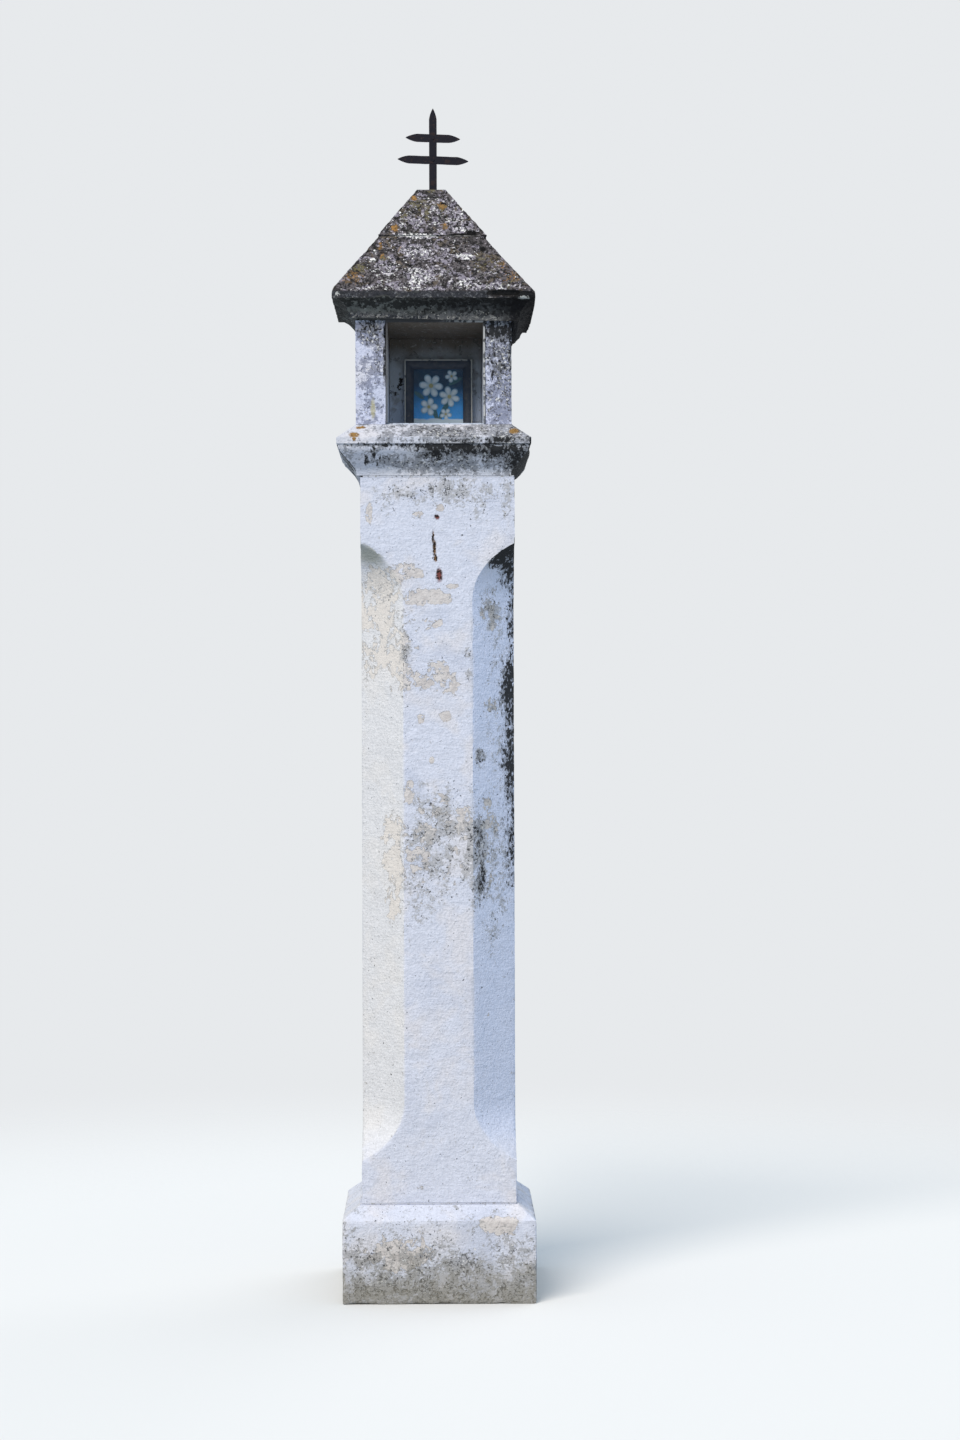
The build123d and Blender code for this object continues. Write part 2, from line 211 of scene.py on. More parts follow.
def lime_wash(name, tone, film_tone, bare=(), crust=(), algae=(), algae_and_shade_by_facing=(), ochre=(), grey=0.0):
    """Old lime wash on stone. It has flaked off the bare places down to beige plaster, a crust of
    lichen grows on it in a grey film with dark and pale crumbs, algae blackens it and orange
    lichen stands on it in small spots. A place is a centre, half sizes and how strong it is.
    The places listed by facing, as (direction, places), add more dark only on what faces that
    direction: algae, and painted shade on sides and undersides turned from the light.
    grey adds crust everywhere."""
    # The wash, in clouds of colour, with warm light painted on the side that faces the key light
    # and blue shade painted on the side turned from it.
    finish = new_finish(name, tone)
    finish.coat((0.66, 0.65, 0.71), finish.grain(0.12).rise(0.46, 0.64) * 0.7)
    finish.coat((0.50, 0.54, 0.68), finish.grain(0.18, shift=3.0).rise(0.50, 0.70) * 0.6)
    # Painted light: what faces the key light is coloured warmer.
    painted_sunlit_side = finish.towards((-0.92, -0.36, 0.12)).rise(0.45, 0.95)
    finish.coat((0.690, 0.678, 0.672), painted_sunlit_side * 0.65)
    # Painted shade: the side turned from the light is coloured blue.
    shade_side = finish.towards((0.9, -0.43, 0)).rise(0.70, 0.97)
    finish.coat((0.685, 0.742, 0.950), shade_side * 0.85)
    # Brush strokes, pores and the unevenness of the stone under it.
    strokes = finish.grain(0.012, rough=0.65, stretch=(3, 3, 0.5), shift=5.0)
    pores = finish.grain(0.006, detail=2.0, shift=6.0)
    finish.shade(strokes * 0.28 + pores * 0.42 + 0.65)
    hand = finish.grain(0.05, shift=7.0)
    finish.height = strokes * 0.0012 + pores * 0.0022 + hand * 0.0040

    # Where it has flaked off: plaster inside a dark broken lip, painted as dirt and as the shadow of the
    # flake's edge.
    worn = finish.node("ShaderNodeAttribute", {"attribute_name": "worn"}, output="Fac")
    islands = finish.grain(0.055, shift=8.0) * 2.2
    islands = islands + finish.grain(0.016, rough=0.65, shift=9.0) * 1.5
    flaked = finish.blots(bare, 0.4) + worn * 0.25 + islands - 1.85
    lip = flaked.rise(0.50, 0.66) * flaked.rise(0.72, 0.67)
    gone = flaked.rise(0.66, 0.70)
    patchy = finish.grain(0.02, rough=0.7).rise(0.42, 0.66)
    plaster = finish.blend((0.63, 0.598, 0.605), (0.52, 0.488, 0.495), patchy)
    finish.coat(plaster, gone, -0.0016)
    # The bare plaster is painted warmer on the lit side as well.
    finish.coat((0.72, 0.68, 0.65), gone * painted_sunlit_side * 0.65)
    finish.coat((0.33, 0.325, 0.32), lip * finish.grain(0.01, 2.0, 0.5).rise(0.40, 0.56) * 0.45, 0.0004)

    # Crust: a grey film, black and pale crumbs on it, and curled dark threads.
    dirt = finish.blots(crust, 0.9)
    lee = finish.towards((0.94, 0.34, 0)).rise(0.50, 0.95)
    clump = finish.grain(0.045, rough=0.65, shift=11.0).rise(0.36, 0.64)
    share = (dirt * 0.80 + lee * 0.35 + grey) * (clump * 0.75 + 0.40)
    ragged = finish.grain(0.022, rough=0.7, shift=12.0) * 1.6
    ragged = ragged + finish.grain(0.007, detail=2.0, shift=13.0) * 1.3
    finish.coat(film_tone, (share * 1.2 + ragged - 1.45).rise(0.30, 0.62) * 0.72, 0.0004)
    finish.coat((0.065, 0.067, 0.075), finish.flecks(0.0032, share * 0.46 + 0.01, 17.0) * 0.9, -0.0009)
    finish.coat((0.78, 0.78, 0.80), finish.flecks(0.0034, share * 0.36, 21.0) * 0.75, 0.0008)
    curl = finish.math("ABSOLUTE", finish.grain(0.035, detail=2.0, shift=22.0) - 0.5)
    curls = curl.rise(0.016, 0.006)
    curls = curls * (share + finish.grain(0.03, 2.0, 0.5, shift=24.0) - 0.5).rise(0.50, 0.60)
    finish.coat((0.10, 0.10, 0.11), curls * 0.8, -0.0008)

    # Algae, and painted shade on what faces the listed directions: a grey veil that closes up to black.
    algae_and_shade = finish.blots(algae, 0.9)
    for direction, places in algae_and_shade_by_facing:
        facing_it = finish.towards(direction).rise(0.15, 0.40)
        algae_and_shade = finish.math("MAXIMUM", algae_and_shade, finish.blots(places, 0.9) * facing_it)
    algae_and_shade = algae_and_shade * (finish.grain(0.03, rough=0.7, shift=23.0).rise(0.30, 0.62) * 0.65 + 0.55)
    veil = finish.grain(0.008, rough=0.7, stretch=(1, 1, 1.5), shift=25.0) * 1.6
    finish.coat((0.13, 0.132, 0.142), (algae_and_shade + veil - 0.8).rise(0.22, 0.60) * 0.65)
    finish.coat((0.016, 0.017, 0.019), finish.flecks(0.0034, algae_and_shade * 0.88, 27.0, (1, 1, 1.4)) * 0.94, 0.0003)

    # Orange lichen.
    spots = finish.blots(ochre, 0.3)
    finish.coat((0.30, 0.175, 0.06), spots * finish.flecks(0.006, 0.85, 31.0), 0.0006)
    finish.coat((0.12, 0.065, 0.03), spots * finish.flecks(0.004, 0.35, 33.0) * 0.8)
    return finish


def smoothed(points, edges, rounds):
    """Points drawn towards the middle of their neighbours, round after round."""
    count = len(points)
    ends = np.concatenate([edges, edges[:, ::-1]])
    neighbours = np.bincount(ends[:, 0], minlength=count)[:, None]
    for _ in range(rounds):
        sums = [np.bincount(ends[:, 0], points[ends[:, 1], axis], count) for axis in range(3)]
        points = 0.5 * points + 0.5 * np.stack(sums, 1) / neighbours
    return points


def lumps(points, size, shift=0.0):
    """Seedless noise from -1 to 1 at each point, with lumps about size metres across."""
    offset = Vector((shift, shift, shift))
    return np.array([noise.noise(Vector(point) / size + offset) for point in points])


def stand_in(name, mesh, node):
    """A piece with that mesh that stands for a node and rides with the whole shrine."""
    piece = bpy.data.objects.new(name, mesh)
    bpy.context.scene.collection.objects.link(piece)
    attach(piece, "root")
    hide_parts(node)
    return piece


def worn_stone(name, mesh_size, relief, wear=0.35, knocks=(), joints="", rough=0.0, settle=None):
    """A finely meshed copy of a node's solid, its arrises worn unevenly and its faces let in by
    up to relief, with rough adding small pits. wear is the share of an arris that is worn round.
    knocks are places where a piece has been struck off: (centre, half sizes). Its top or bottom
    face stays level, with a crisp edge, where joints names it. settle moves the points at the
    end."""
    low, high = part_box(name)
    stone = stand_in("worn_" + name, solids[name].data.copy(), name)
    # Mesh it in even cells that keep its sharp edges. The remesh sizes them from the longest side.
    stone.modifiers.new("weld", "WELD")
    remesh = stone.modifiers.new("remesh", "REMESH")
    remesh.mode = "SHARP"
    cells = max(stone.dimensions) / mesh_size
    remesh.octree_depth = math.ceil(math.log2(cells / 0.95))
    remesh.scale = cells / 2**remesh.octree_depth
    remesh.use_remove_disconnected = False
    remesh.use_smooth_shade = True
    mesh = bpy.data.meshes.new_from_object(stone.evaluated_get(bpy.context.evaluated_depsgraph_get()))
    stone.modifiers.clear()
    stone.data = mesh

    count = len(mesh.vertices)
    points = np.empty(count * 3)
    mesh.vertices.foreach_get("co", points)
    points = points.reshape(-1, 3)
    normals = np.empty(count * 3)
    mesh.vertices.foreach_get("normal", normals)
    normals = normals.reshape(-1, 3)
    edges = np.empty(len(mesh.edges) * 2, int)
    mesh.edges.foreach_get("vertices", edges)
    edges = edges.reshape(-1, 2)

    # Bedded faces keep their level.
    level = points[:, 2].copy()
    held = np.zeros(count, bool)
    if "top" in joints:
        held |= level > high.z - 1e-4
    if "bottom" in joints:
        held |= level < low.z + 1e-4

    # Wear draws the arrises in, more here and less there. Faces are let in unevenly and pitted,
    # and less where they face up.
    drawn = smoothed(points, edges, rounds=4) - points
    strength = np.clip(wear + 0.8 * lumps(points, 0.09) + 0.7 * lumps(points, 0.02, 5.0), 0.06, 1.5)
    strength[held] *= 0.3
    drawn = drawn * strength[:, None]
    worn = np.linalg.norm(drawn, axis=1) / (0.6 * mesh_size)
    sunk = relief * np.clip(0.5 + 0.35 * lumps(points, 0.13, 9.0) + 0.35 * lumps(points, 0.03, 13.0), 0, 1)
    if rough:
        sunk += rough * np.clip(0.4 + lumps(points, 0.012, 19.0), 0, 1)
    sunk[normals[:, 2] > 0.9] *= 0.3
    points = points + drawn - normals * sunk[:, None]
    # What lies inside a knock is pushed back to its ragged skin.
    for centre, half_size in knocks:
        off = (points - centre) / half_size
        ragged = 1 + 0.25 * lumps(points, 0.012, 17.0)
        reach = np.linalg.norm(off, axis=1)
        inside = reach < ragged
        scale = (ragged[inside] / np.maximum(reach[inside], 1e-3))[:, None]
        points[inside] = centre + off[inside] * scale * half_size
        worn[inside] = 1.0
    points[held, 2] = level[held]
    points = np.clip(points, low, high)
    if settle:
        points = settle(points)
    mesh.vertices.foreach_set("co", points.ravel())
    worn_share = np.clip(worn, 0, 1).astype(np.float32)
    mesh.attributes.new("worn", "FLOAT", "POINT").data.foreach_set("value", worn_share)
    mesh.update()
    mesh.set_sharp_from_angle(angle=math.radians(38))
    return stone


def dress(stone, finish_material):
    """Give a piece its one finish, in its mesh's one material slot."""
    stone.data.materials.clear()
    stone.data.materials.append(finish_material)


wash_tone = (0.61, 0.64, 0.765)
foot_block = worn_stone("foot_block", mesh_size=0.0062, relief=0.0018, wear=0.7, joints="top")
foot_finish = lime_wash(
    "lime_wash_on_foot",
    tone=wash_tone,
    film_tone=(0.29, 0.29, 0.30),
    bare=[
        ((-0.10, -0.253, 0.13), (0.09, 0.05, 0.05), 0.9),
        ((0.16, -0.253, 0.20), (0.06, 0.05, 0.03), 0.8),
    ],
    crust=[((0.0, 0.0, 0.02), (0.6, 0.6, 0.12), 0.8)],
    grey=0.18,
)
splash_height = foot_finish.along((0, 0, 1)) - foot_finish.grain(0.05, shift=31.0) * 0.16
foot_finish.coat((0.25, 0.235, 0.20), splash_height.rise(0.07, -0.07) * 0.7)
dress(foot_block, foot_finish.done())


# Beds of mortar: lime mortar that squeezed out between the stones when they were set and was
# struck off with a trowel. Only its outer edge shows. Those of the pillar were washed over with
# the stones, those of the roof have darkened with it.
mortar_depth = 0.02
mortar_step = 0.004
mortar_lumps = 0.011
# The edge in section, as shares of the bed's height and of its depth.
mortar_section = ((0, 1.0), (0, 0.05), (0.5, 0.0), (1, 0.05), (1, 1.0))


def mortar_edge(name, corners, closed, sunk, mortar_material):
    """The visible edge of a bed, run along a path of (outer corner, way in) pairs. It lies sunk by
    about that much behind the stones' faces."""
    low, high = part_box(name)
    stations = []
    next_corners = corners[1:] + corners[:1] if closed else corners[1:]
    for (start, start_in), (end, end_in) in zip(corners, next_corners):
        steps = math.ceil((Vector(end) - Vector(start)).length / mortar_step)
        for step in range(steps):
            share = step / steps
            way_in = Vector(start_in).lerp(Vector(end_in), share)
            stations.append((Vector(start).lerp(Vector(end), share), way_in))
    if not closed:
        stations.append((Vector(corners[-1][0]), Vector(corners[-1][1])))
    mesh = bmesh.new()
    rings = []
    for outer, way_in in stations:
        ring = []
        for level, inset in mortar_section:
            point = outer + way_in * (mortar_depth * inset)
            height = low.z + (high.z - low.z) * level
            if inset < 1:
                rough = noise.noise(Vector((point.x, point.y, height)) / mortar_lumps)
                point = point + way_in * (sunk * (1 + rough))
            ring.append(mesh.verts.new((point.x, point.y, height)))
        rings.append(ring)
    next_rings = rings[1:] + rings[:1] if closed else rings[1:]
    for ring, following in zip(rings, next_rings):
        for index in range(len(mortar_section)):
            side = (index + 1) % len(mortar_section)
            mesh.faces.new((ring[index], following[index], following[side], ring[side]))
    if not closed:
        mesh.faces.new(rings[0])
        mesh.faces.new(reversed(rings[-1]))
    bmesh.ops.recalc_face_normals(mesh, faces=mesh.faces)
    data = bpy.data.meshes.new("mortar_" + name)
    mesh.to_mesh(data)
    mesh.free()
    data.shade_smooth()
    dress(stand_in("mortar_" + name, data, name), mortar_material)


def square_corners(name):
    """The four corners of a square bed, each with the diagonal way in."""
    low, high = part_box(name)
    return [
        ((low.x, low.y), (1, 1)),
        ((high.x, low.y), (-1, 1)),
        ((high.x, high.y), (-1, -1)),
        ((low.x, high.y), (1, -1)),
    ]


washed_mortar = new_finish("washed_mortar", (0.58, 0.60, 0.68))
washed_mortar.coat((0.40, 0.40, 0.41), washed_mortar.flecks(0.006, 0.30))
washed_mortar.coat((0.06, 0.06, 0.065), washed_mortar.flecks(0.004, 0.16, 4.0) * 0.8)
# A hole at the front left corner is painted dark as shade.
corner_hole_shade = washed_mortar.blot((-0.191, -0.201, 2.153), (0.006, 0.02, 0.006))
washed_mortar.coat((0.03, 0.03, 0.032), corner_hole_shade)
washed_mortar.height = washed_mortar.grain(0.004, rough=0.7) * 0.0012
washed_material = washed_mortar.done(0.95)
for bed in ("foot_bed", "capital_bed"):
    mortar_edge(bed, square_corners(bed), True, 0.0002, washed_material)

roof_mortar = new_finish("dark_mortar", (0.13, 0.125, 0.125))
roof_mortar.coat((0.30, 0.29, 0.29), roof_mortar.flecks(0.006, 0.30))
roof_mortar.coat((0.020, 0.020, 0.022), roof_mortar.flecks(0.008, 0.45, 4.0) * 0.9)
pale_share = roof_mortar.blot((-0.040, -0.134, 2.796), (0.055, 0.03, 0.02), 0.6)
roof_mortar.coat((0.62, 0.61, 0.61), roof_mortar.flecks(0.006, pale_share * 1.1, 8.0))
roof_mortar.height = roof_mortar.grain(0.004, rough=0.7) * 0.0016
roof_mortar_material = roof_mortar.done(0.95)
mortar_edge("cap_bed", square_corners("cap_bed"), True, 0.0016, roof_mortar_material)

# The niche stands a few millimetres further right than the walls' outer faces, and the bed of
# the eave stops at it on both sides.
niche_offset = 0.005
niche_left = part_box("head_left_wall")[1].x + niche_offset
niche_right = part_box("head_right_wall")[0].x + niche_offset
front_left, front_right, back_right, back_left = square_corners("eave_bed")
eave_path = [
    ((niche_left, front_left[0][1]), (0, 1)),
    front_left,
    back_left,
    back_right,
    front_right,
    ((niche_right, front_right[0][1]), (0, 1)),
]
mortar_edge("eave_bed", eave_path, False, 0.0018, roof_mortar_material)


# Shaft: one long stone, its corners cut back between round stops. The wash has flaked to beige
# plaster on the left-hand corner, black algae and painted shade run down the right-hand one, and an
# old iron pin has left a rusty slit near the top.
shaft = worn_stone("shaft", mesh_size=0.0068, relief=0.0014, joints="top bottom")
shaft_finish = lime_wash(
    "lime_wash_on_shaft",
    tone=wash_tone,
    film_tone=(0.37, 0.37, 0.39),
    bare=[
        ((-0.125, -0.160, 1.870), (0.075, 0.085, 0.068), 0.9),
        ((-0.056, -0.203, 1.905), (0.034, 0.045, 0.026), 0.9),
        ((-0.020, -0.203, 1.837), (0.068, 0.045, 0.024), 0.9),
        ((-0.030, -0.203, 1.765), (0.046, 0.045, 0.022), 0.8),
        ((-0.118, -0.165, 1.735), (0.068, 0.085, 0.110), 0.72),
        ((-0.170, -0.115, 1.820), (0.045, 0.070, 0.085), 0.80),
        ((-0.165, -0.120, 1.690), (0.040, 0.070, 0.075), 0.62),
        ((-0.100, -0.180, 1.640), (0.050, 0.060, 0.060), 0.72),
        ((0.000, -0.203, 1.632), (0.075, 0.050, 0.042), 0.66),
        ((0.050, -0.203, 1.600), (0.030, 0.050, 0.020), 0.75),
        ((0.147, -0.156, 1.800), (0.036, 0.050, 0.050), 0.72),
        ((0.150, -0.150, 1.560), (0.026, 0.040, 0.034), 0.62),
        ((0.140, -0.160, 1.200), (0.040, 0.050, 0.120), 0.55),
        ((-0.036, -0.203, 1.521), (0.013, 0.03, 0.016), 0.95),
        ((0.027, -0.203, 1.526), (0.016, 0.03, 0.016), 0.9),
        ((-0.007, -0.203, 1.411), (0.008, 0.03, 0.010), 1.0),
        ((-0.112, -0.175, 1.130), (0.036, 0.050, 0.170), 0.80),
        ((-0.067, -0.203, 1.333), (0.016, 0.03, 0.036), 0.85),
        ((0.000, -0.203, 1.205), (0.100, 0.06, 0.140), 0.55),
        ((0.016, -0.203, 2.070), (0.010, 0.03, 0.010), 1.0),
        ((0.047, -0.203, 1.866), (0.015, 0.03, 0.0065), 1.0),
        ((-0.170, -0.203, 2.052), (0.010, 0.03, 0.031), 0.8),
        ((-0.042, -0.203, 2.050), (0.021, 0.03, 0.013), 0.75),
    ],
    crust=[
        ((0.029, -0.203, 2.112), (0.162, 0.08, 0.037), 0.75),
        ((-0.128, -0.203, 2.099), (0.058, 0.058, 0.042), 0.4),
        ((0.115, -0.203, 2.060), (0.042, 0.042, 0.037), 0.5),
        ((0.191, -0.203, 2.091), (0.021, 0.035, 0.058), 0.8),
        ((-0.077, -0.203, 1.699), (0.016, 0.035, 0.118), 0.6),
        ((0.090, -0.203, 1.659), (0.013, 0.035, 0.052), 0.6),
        ((0.003, -0.203, 1.202), (0.079, 0.079, 0.131), 0.75),
        ((0.102, -0.201, 1.175), (0.031, 0.035, 0.131), 0.9),
        ((-0.039, -0.203, 1.071), (0.052, 0.052, 0.105), 0.5),
        ((-0.116, -0.169, 1.832), (0.053, 0.053, 0.079), 0.3),
        ((0.147, -0.156, 1.805), (0.037, 0.037, 0.058), 0.8),
        ((0.119, -0.184, 1.418), (0.016, 0.035, 0.026), 1.0),
        ((0.118, -0.185, 1.175), (0.021, 0.035, 0.118), 1.0),
        ((0.165, -0.138, 1.568), (0.037, 0.037, 0.317), 0.45),
        ((0.158, -0.145, 1.094), (0.048, 0.048, 0.159), 0.7),
    ],
    algae=[
        ((0.119, -0.184, 1.418), (0.011, 0.030, 0.018), 0.6),
        ((0.113, -0.190, 1.214), (0.013, 0.030, 0.053), 0.55),
        ((0.123, -0.180, 1.096), (0.016, 0.030, 0.047), 0.6),
    ],
    # Down the right-hand side and in the right-hand stop the dark is algae and painted shade.
    algae_and_shade_by_facing=[
        (
            (0.95, 0.1, -0.3),
            [
                ((0.196, -0.180, 1.985), (0.060, 0.070, 0.058), 1.35),
                ((0.178, -0.160, 1.960), (0.044, 0.070, 0.044), 1.5),
                ((0.203, -0.125, 1.915), (0.036, 0.060, 0.048), 0.80),
                ((0.211, -0.088, 1.800), (0.019, 0.060, 0.130), 0.62),
                ((0.209, -0.090, 1.590), (0.036, 0.060, 0.110), 0.92),
                ((0.209, -0.090, 1.410), (0.032, 0.060, 0.120), 0.85),
                ((0.209, -0.090, 1.200), (0.026, 0.060, 0.120), 0.65),
                ((0.214, -0.140, 2.110), (0.030, 0.110, 0.150), 0.70),
                ((0.214, 0.030, 2.130), (0.030, 0.130, 0.230), 0.60),
                ((0.214, -0.040, 1.880), (0.030, 0.035, 0.420), 0.55),
                ((0.214, 0.055, 1.700), (0.030, 0.030, 0.520), 0.50),
                ((0.214, 0.000, 1.350), (0.030, 0.110, 0.450), 0.30),
            ],
        )
    ],
)
# Painted shade: the left-hand stop is coloured darker and a little green underneath.
painted_green_shade = shaft_finish.blot((-0.170, -0.180, 1.952), (0.050, 0.050, 0.030), 0.7)
painted_green_shade = painted_green_shade * shaft_finish.towards((0, 0, -1)).rise(0.12, 0.4)
shaft_finish.coat((0.36, 0.37, 0.335), painted_green_shade * 0.85)
# The slit that the pin has left, and its rust.
rust_slit = shaft_finish.blots(
    [
        ((-0.003, -0.203, 1.995), (0.0026, 0.02, 0.0157), 1),
        ((0.001, -0.203, 1.966), (0.0037, 0.02, 0.021), 1),
        ((0.004, -0.203, 1.940), (0.0029, 0.02, 0.0105), 1),
    ],
    soft=0.4,
)
rust_drops = shaft_finish.blots(
    [
        ((0.013, -0.203, 1.895), (0.0079, 0.02, 0.017), 1),
        ((0.008, -0.203, 2.047), (0.0058, 0.02, 0.0063), 1),
    ],
    soft=0.4,
)
shaft_finish.coat((0.22, 0.12, 0.055), rust_slit, -0.002)
shaft_finish.coat((0.17, 0.055, 0.05), rust_drops, -0.001)
rust_pits = (rust_slit + rust_drops) * shaft_finish.flecks(0.004, 0.55, 41.0)
shaft_finish.coat((0.02, 0.016, 0.015), rust_pits)
dress(shaft, shaft_finish.done())


# Capital: one stone with a mitred moulding that swells out from the shaft to a square edge.
# Rain runs off the slope above the edge, so that stays pale, and under it the stone is blackened
# by algae and by painted shade.
# The edge stands out a little over the moulding.
capital_edge_bottom = 2.2327
moulding_height = 0.068
edge_overhang = 0.0045
higher_on_left = 0.007
swell_on_right = 0.011
shaft_half_width = 0.206


def set_back_under_edge(points):
    """Let the moulding in by a few millimetres right under the edge, dying out further down. Away
    from the front it hangs a little higher on the left and swells a little more on the right."""
    across, depth, level = points.T
    under_edge = level < capital_edge_bottom
    inset = edge_overhang * np.clip((level - 2.185) / 0.040, 0, 1) * under_edge
    scale = 1 - inset / np.maximum(np.maximum(np.abs(across), np.abs(depth)), 0.1)
    back = np.clip((depth + 0.235) / 0.20, 0, 1)
    beyond_shaft = np.clip((np.abs(across) - shaft_half_width) / 0.012, 0, 1) * under_edge
    drop = capital_edge_bottom - level
    lift = higher_on_left * back * beyond_shaft * (across < 0) * np.clip(drop / 0.02, 0, 1)
    down = np.clip(drop / moulding_height, 0, 1)
    bulge = 4 * swell_on_right * down * (1 - down)
    swell = bulge * np.clip(back * 2.5, 0, 1) * beyond_shaft * (across > 0)
    return np.stack([across * scale + swell, depth * scale, level + lift], 1)


capital = worn_stone(
    "capital",
    mesh_size=0.0034,
    relief=0.0016,
    wear=0.25,
    knocks=[
        ((0.050, -0.262, 2.238), (0.020, 0.011, 0.008)),
        ((-0.262, -0.262, 2.245), (0.012, 0.012, 0.02)),
        ((0.262, -0.262, 2.243), (0.016, 0.016, 0.022)),
        ((0.17, -0.262, 2.230), (0.030, 0.011, 0.006)),
    ],
    joints="bottom",
    rough=0.0008,
    settle=set_back_under_edge,
)
capital_finish = lime_wash(
    "lime_wash_on_capital",
    tone=(0.56, 0.58, 0.67),
    film_tone=(0.195, 0.203, 0.235),
    crust=[
        ((0.042, -0.235, 2.266), (0.157, 0.06, 0.024), 0.75),
        ((-0.088, -0.243, 2.260), (0.065, 0.05, 0.018), 0.35),
        ((0.172, -0.243, 2.259), (0.073, 0.05, 0.023), 0.7),
        ((0.094, -0.255, 2.243), (0.156, 0.05, 0.008), 0.7),
        ((0.055, -0.232, 2.198), (0.144, 0.06, 0.031), 0.8),
        ((0.160, -0.222, 2.189), (0.078, 0.05, 0.031), 0.65),
        ((-0.088, -0.227, 2.194), (0.078, 0.05, 0.026), 0.4),
        ((0.190, -0.240, 2.262), (0.090, 0.05, 0.028), 1.15),
    ],
    algae=[
        ((-0.176, -0.227, 2.194), (0.005, 0.03, 0.016), 0.9),
        ((-0.158, -0.239, 2.206), (0.005, 0.03, 0.021), 1.0),
        ((-0.148, -0.220, 2.187), (0.003, 0.03, 0.009), 0.9),
        ((-0.140, -0.230, 2.196), (0.003, 0.03, 0.009), 0.9),
        ((0.172, -0.255, 2.243), (0.042, 0.03, 0.008), 0.7),
        ((0.245, -0.255, 2.245), (0.013, 0.03, 0.010), 0.6),
    ],
    # Under the edge the dark is algae and painted shade; on both returns it is painted shade.
    algae_and_shade_by_facing=[
        (
            (0, -0.3, -0.95),
            [
                ((0.055, -0.255, 2.226), (0.130, 0.05, 0.012), 1.0),
                ((0.008, -0.250, 2.217), (0.050, 0.05, 0.020), 0.8),
                ((0.160, -0.252, 2.218), (0.110, 0.05, 0.022), 0.9),
                ((-0.09, -0.255, 2.231), (0.150, 0.04, 0.005), 0.7),
                ((0.215, -0.227, 2.193), (0.024, 0.05, 0.042), 0.85),
            ],
        ),
        ((1, 0, 0), [((0.245, -0.12, 2.190), (0.080, 0.36, 0.060), 1.5)]),
        (
            (-1, 0, -0.15),
            [
                ((-0.235, -0.195, 2.190), (0.080, 0.075, 0.045), 0.95),
                ((-0.235, -0.020, 2.208), (0.080, 0.150, 0.026), 0.65),
                ((-0.235, 0.160, 2.200), (0.080, 0.090, 0.030), 0.50),
            ],
        ),
    ],
    ochre=[
        ((-0.190, -0.218, 2.280), (0.012, 0.03, 0.005), 1),
        ((-0.207, -0.245, 2.258), (0.013, 0.03, 0.008), 1),
        ((-0.207, -0.255, 2.246), (0.005, 0.03, 0.005), 1),
        ((0.209, -0.232, 2.269), (0.012, 0.03, 0.009), 1),
    ],
    grey=0.30,
)
dress(capital, capital_finish.done())


# Niche walls: two side walls that run the whole depth and a back wall between them. Lichen has
# mottled them most near the roof, where they are also painted darker as the eave's shade, and their
# wash is painted bluer as shade. The inner arris of the left-hand one has broken away at its top
# and the outer arris of the right-hand one is knocked.
def niche_set_over(points):
    """Let the walls' inner faces stand over to the right with the niche."""
    inner = np.clip((0.190 - np.abs(points[:, 0])) / 0.045, 0, 1)
    points[:, 0] += niche_offset * inner
    return points


wall_knocks = {
    "head_left_wall": [((-0.127, -0.207, 2.530), (0.0085, 0.02, 0.036))],
    "head_right_wall": [((0.207, -0.207, 2.50), (0.008, 0.008, 0.05))],
}
head_walls = [
    worn_stone(
        wall,
        mesh_size=0.0033,
        relief=0.0012,
        knocks=knocks,
        joints="top bottom",
        rough=0.0008,
        settle=niche_set_over,
    )
    for wall, knocks in wall_knocks.items()
]
back_wall = worn_stone(
    "head_back_wall", mesh_size=0.005, relief=0.001, joints="top bottom", settle=niche_set_over
)
head_walls.append(back_wall)
head_finish = lime_wash(
    "lime_wash_on_head",
    # Wash and film painted bluer and darker as shade.
    tone=(0.58, 0.61, 0.78),
    film_tone=(0.15, 0.165, 0.25),
    # Near the roof the crust and algae are lichen and painted shade of the eave.
    crust=[
        ((0.0, 0.0, 2.56), (0.36, 0.36, 0.07), 0.8),
        ((-0.163, -0.205, 2.523), (0.037, 0.04, 0.047), 0.95),
        ((-0.164, -0.205, 2.453), (0.037, 0.04, 0.037), 0.6),
        ((-0.161, -0.205, 2.366), (0.034, 0.04, 0.066), 0.3),
        ((0.174, -0.205, 2.523), (0.050, 0.06, 0.050), 1.0),
        ((0.174, -0.205, 2.465), (0.060, 0.06, 0.075), 1.0),
        ((0.174, -0.205, 2.380), (0.060, 0.06, 0.080), 0.65),
        ((0.205, 0.0, 2.45), (0.03, 0.40, 0.15), 0.8),
    ],
    algae=[
        ((-0.158, -0.205, 2.552), (0.040, 0.04, 0.030), 0.60),
        ((0.174, -0.205, 2.535), (0.055, 0.04, 0.034), 0.80),
        ((0.202, -0.205, 2.497), (0.008, 0.03, 0.079), 0.6),
        ((0.166, -0.205, 2.440), (0.030, 0.03, 0.060), 0.5),
        ((-0.128, -0.205, 2.484), (0.005, 0.03, 0.092), 0.7),
    ],
    grey=0.22,
)
yellow_stain = head_finish.blots([((-0.159, -0.205, 2.330), (0.006, 0.03, 0.024), 1)], soft=0.5)
head_finish.coat((0.42, 0.39, 0.22), yellow_stain * 0.75)
head_material = head_finish.done()
for wall in head_walls:
    dress(wall, head_material)


# Render inside the niche: thin lime coats on the walls and ceiling and a screed on the floor,
# floated by hand and so a little uneven. Candle smoke and painted shade darken them towards the
# ceiling, and painted light makes them paler and bluer near the floor.
smoked_and_shaded = new_finish("smoked_and_shaded_render", (0.56, 0.62, 0.74))
niche_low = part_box("niche_floor")[0].z
niche_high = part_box("niche_ceiling")[0].z
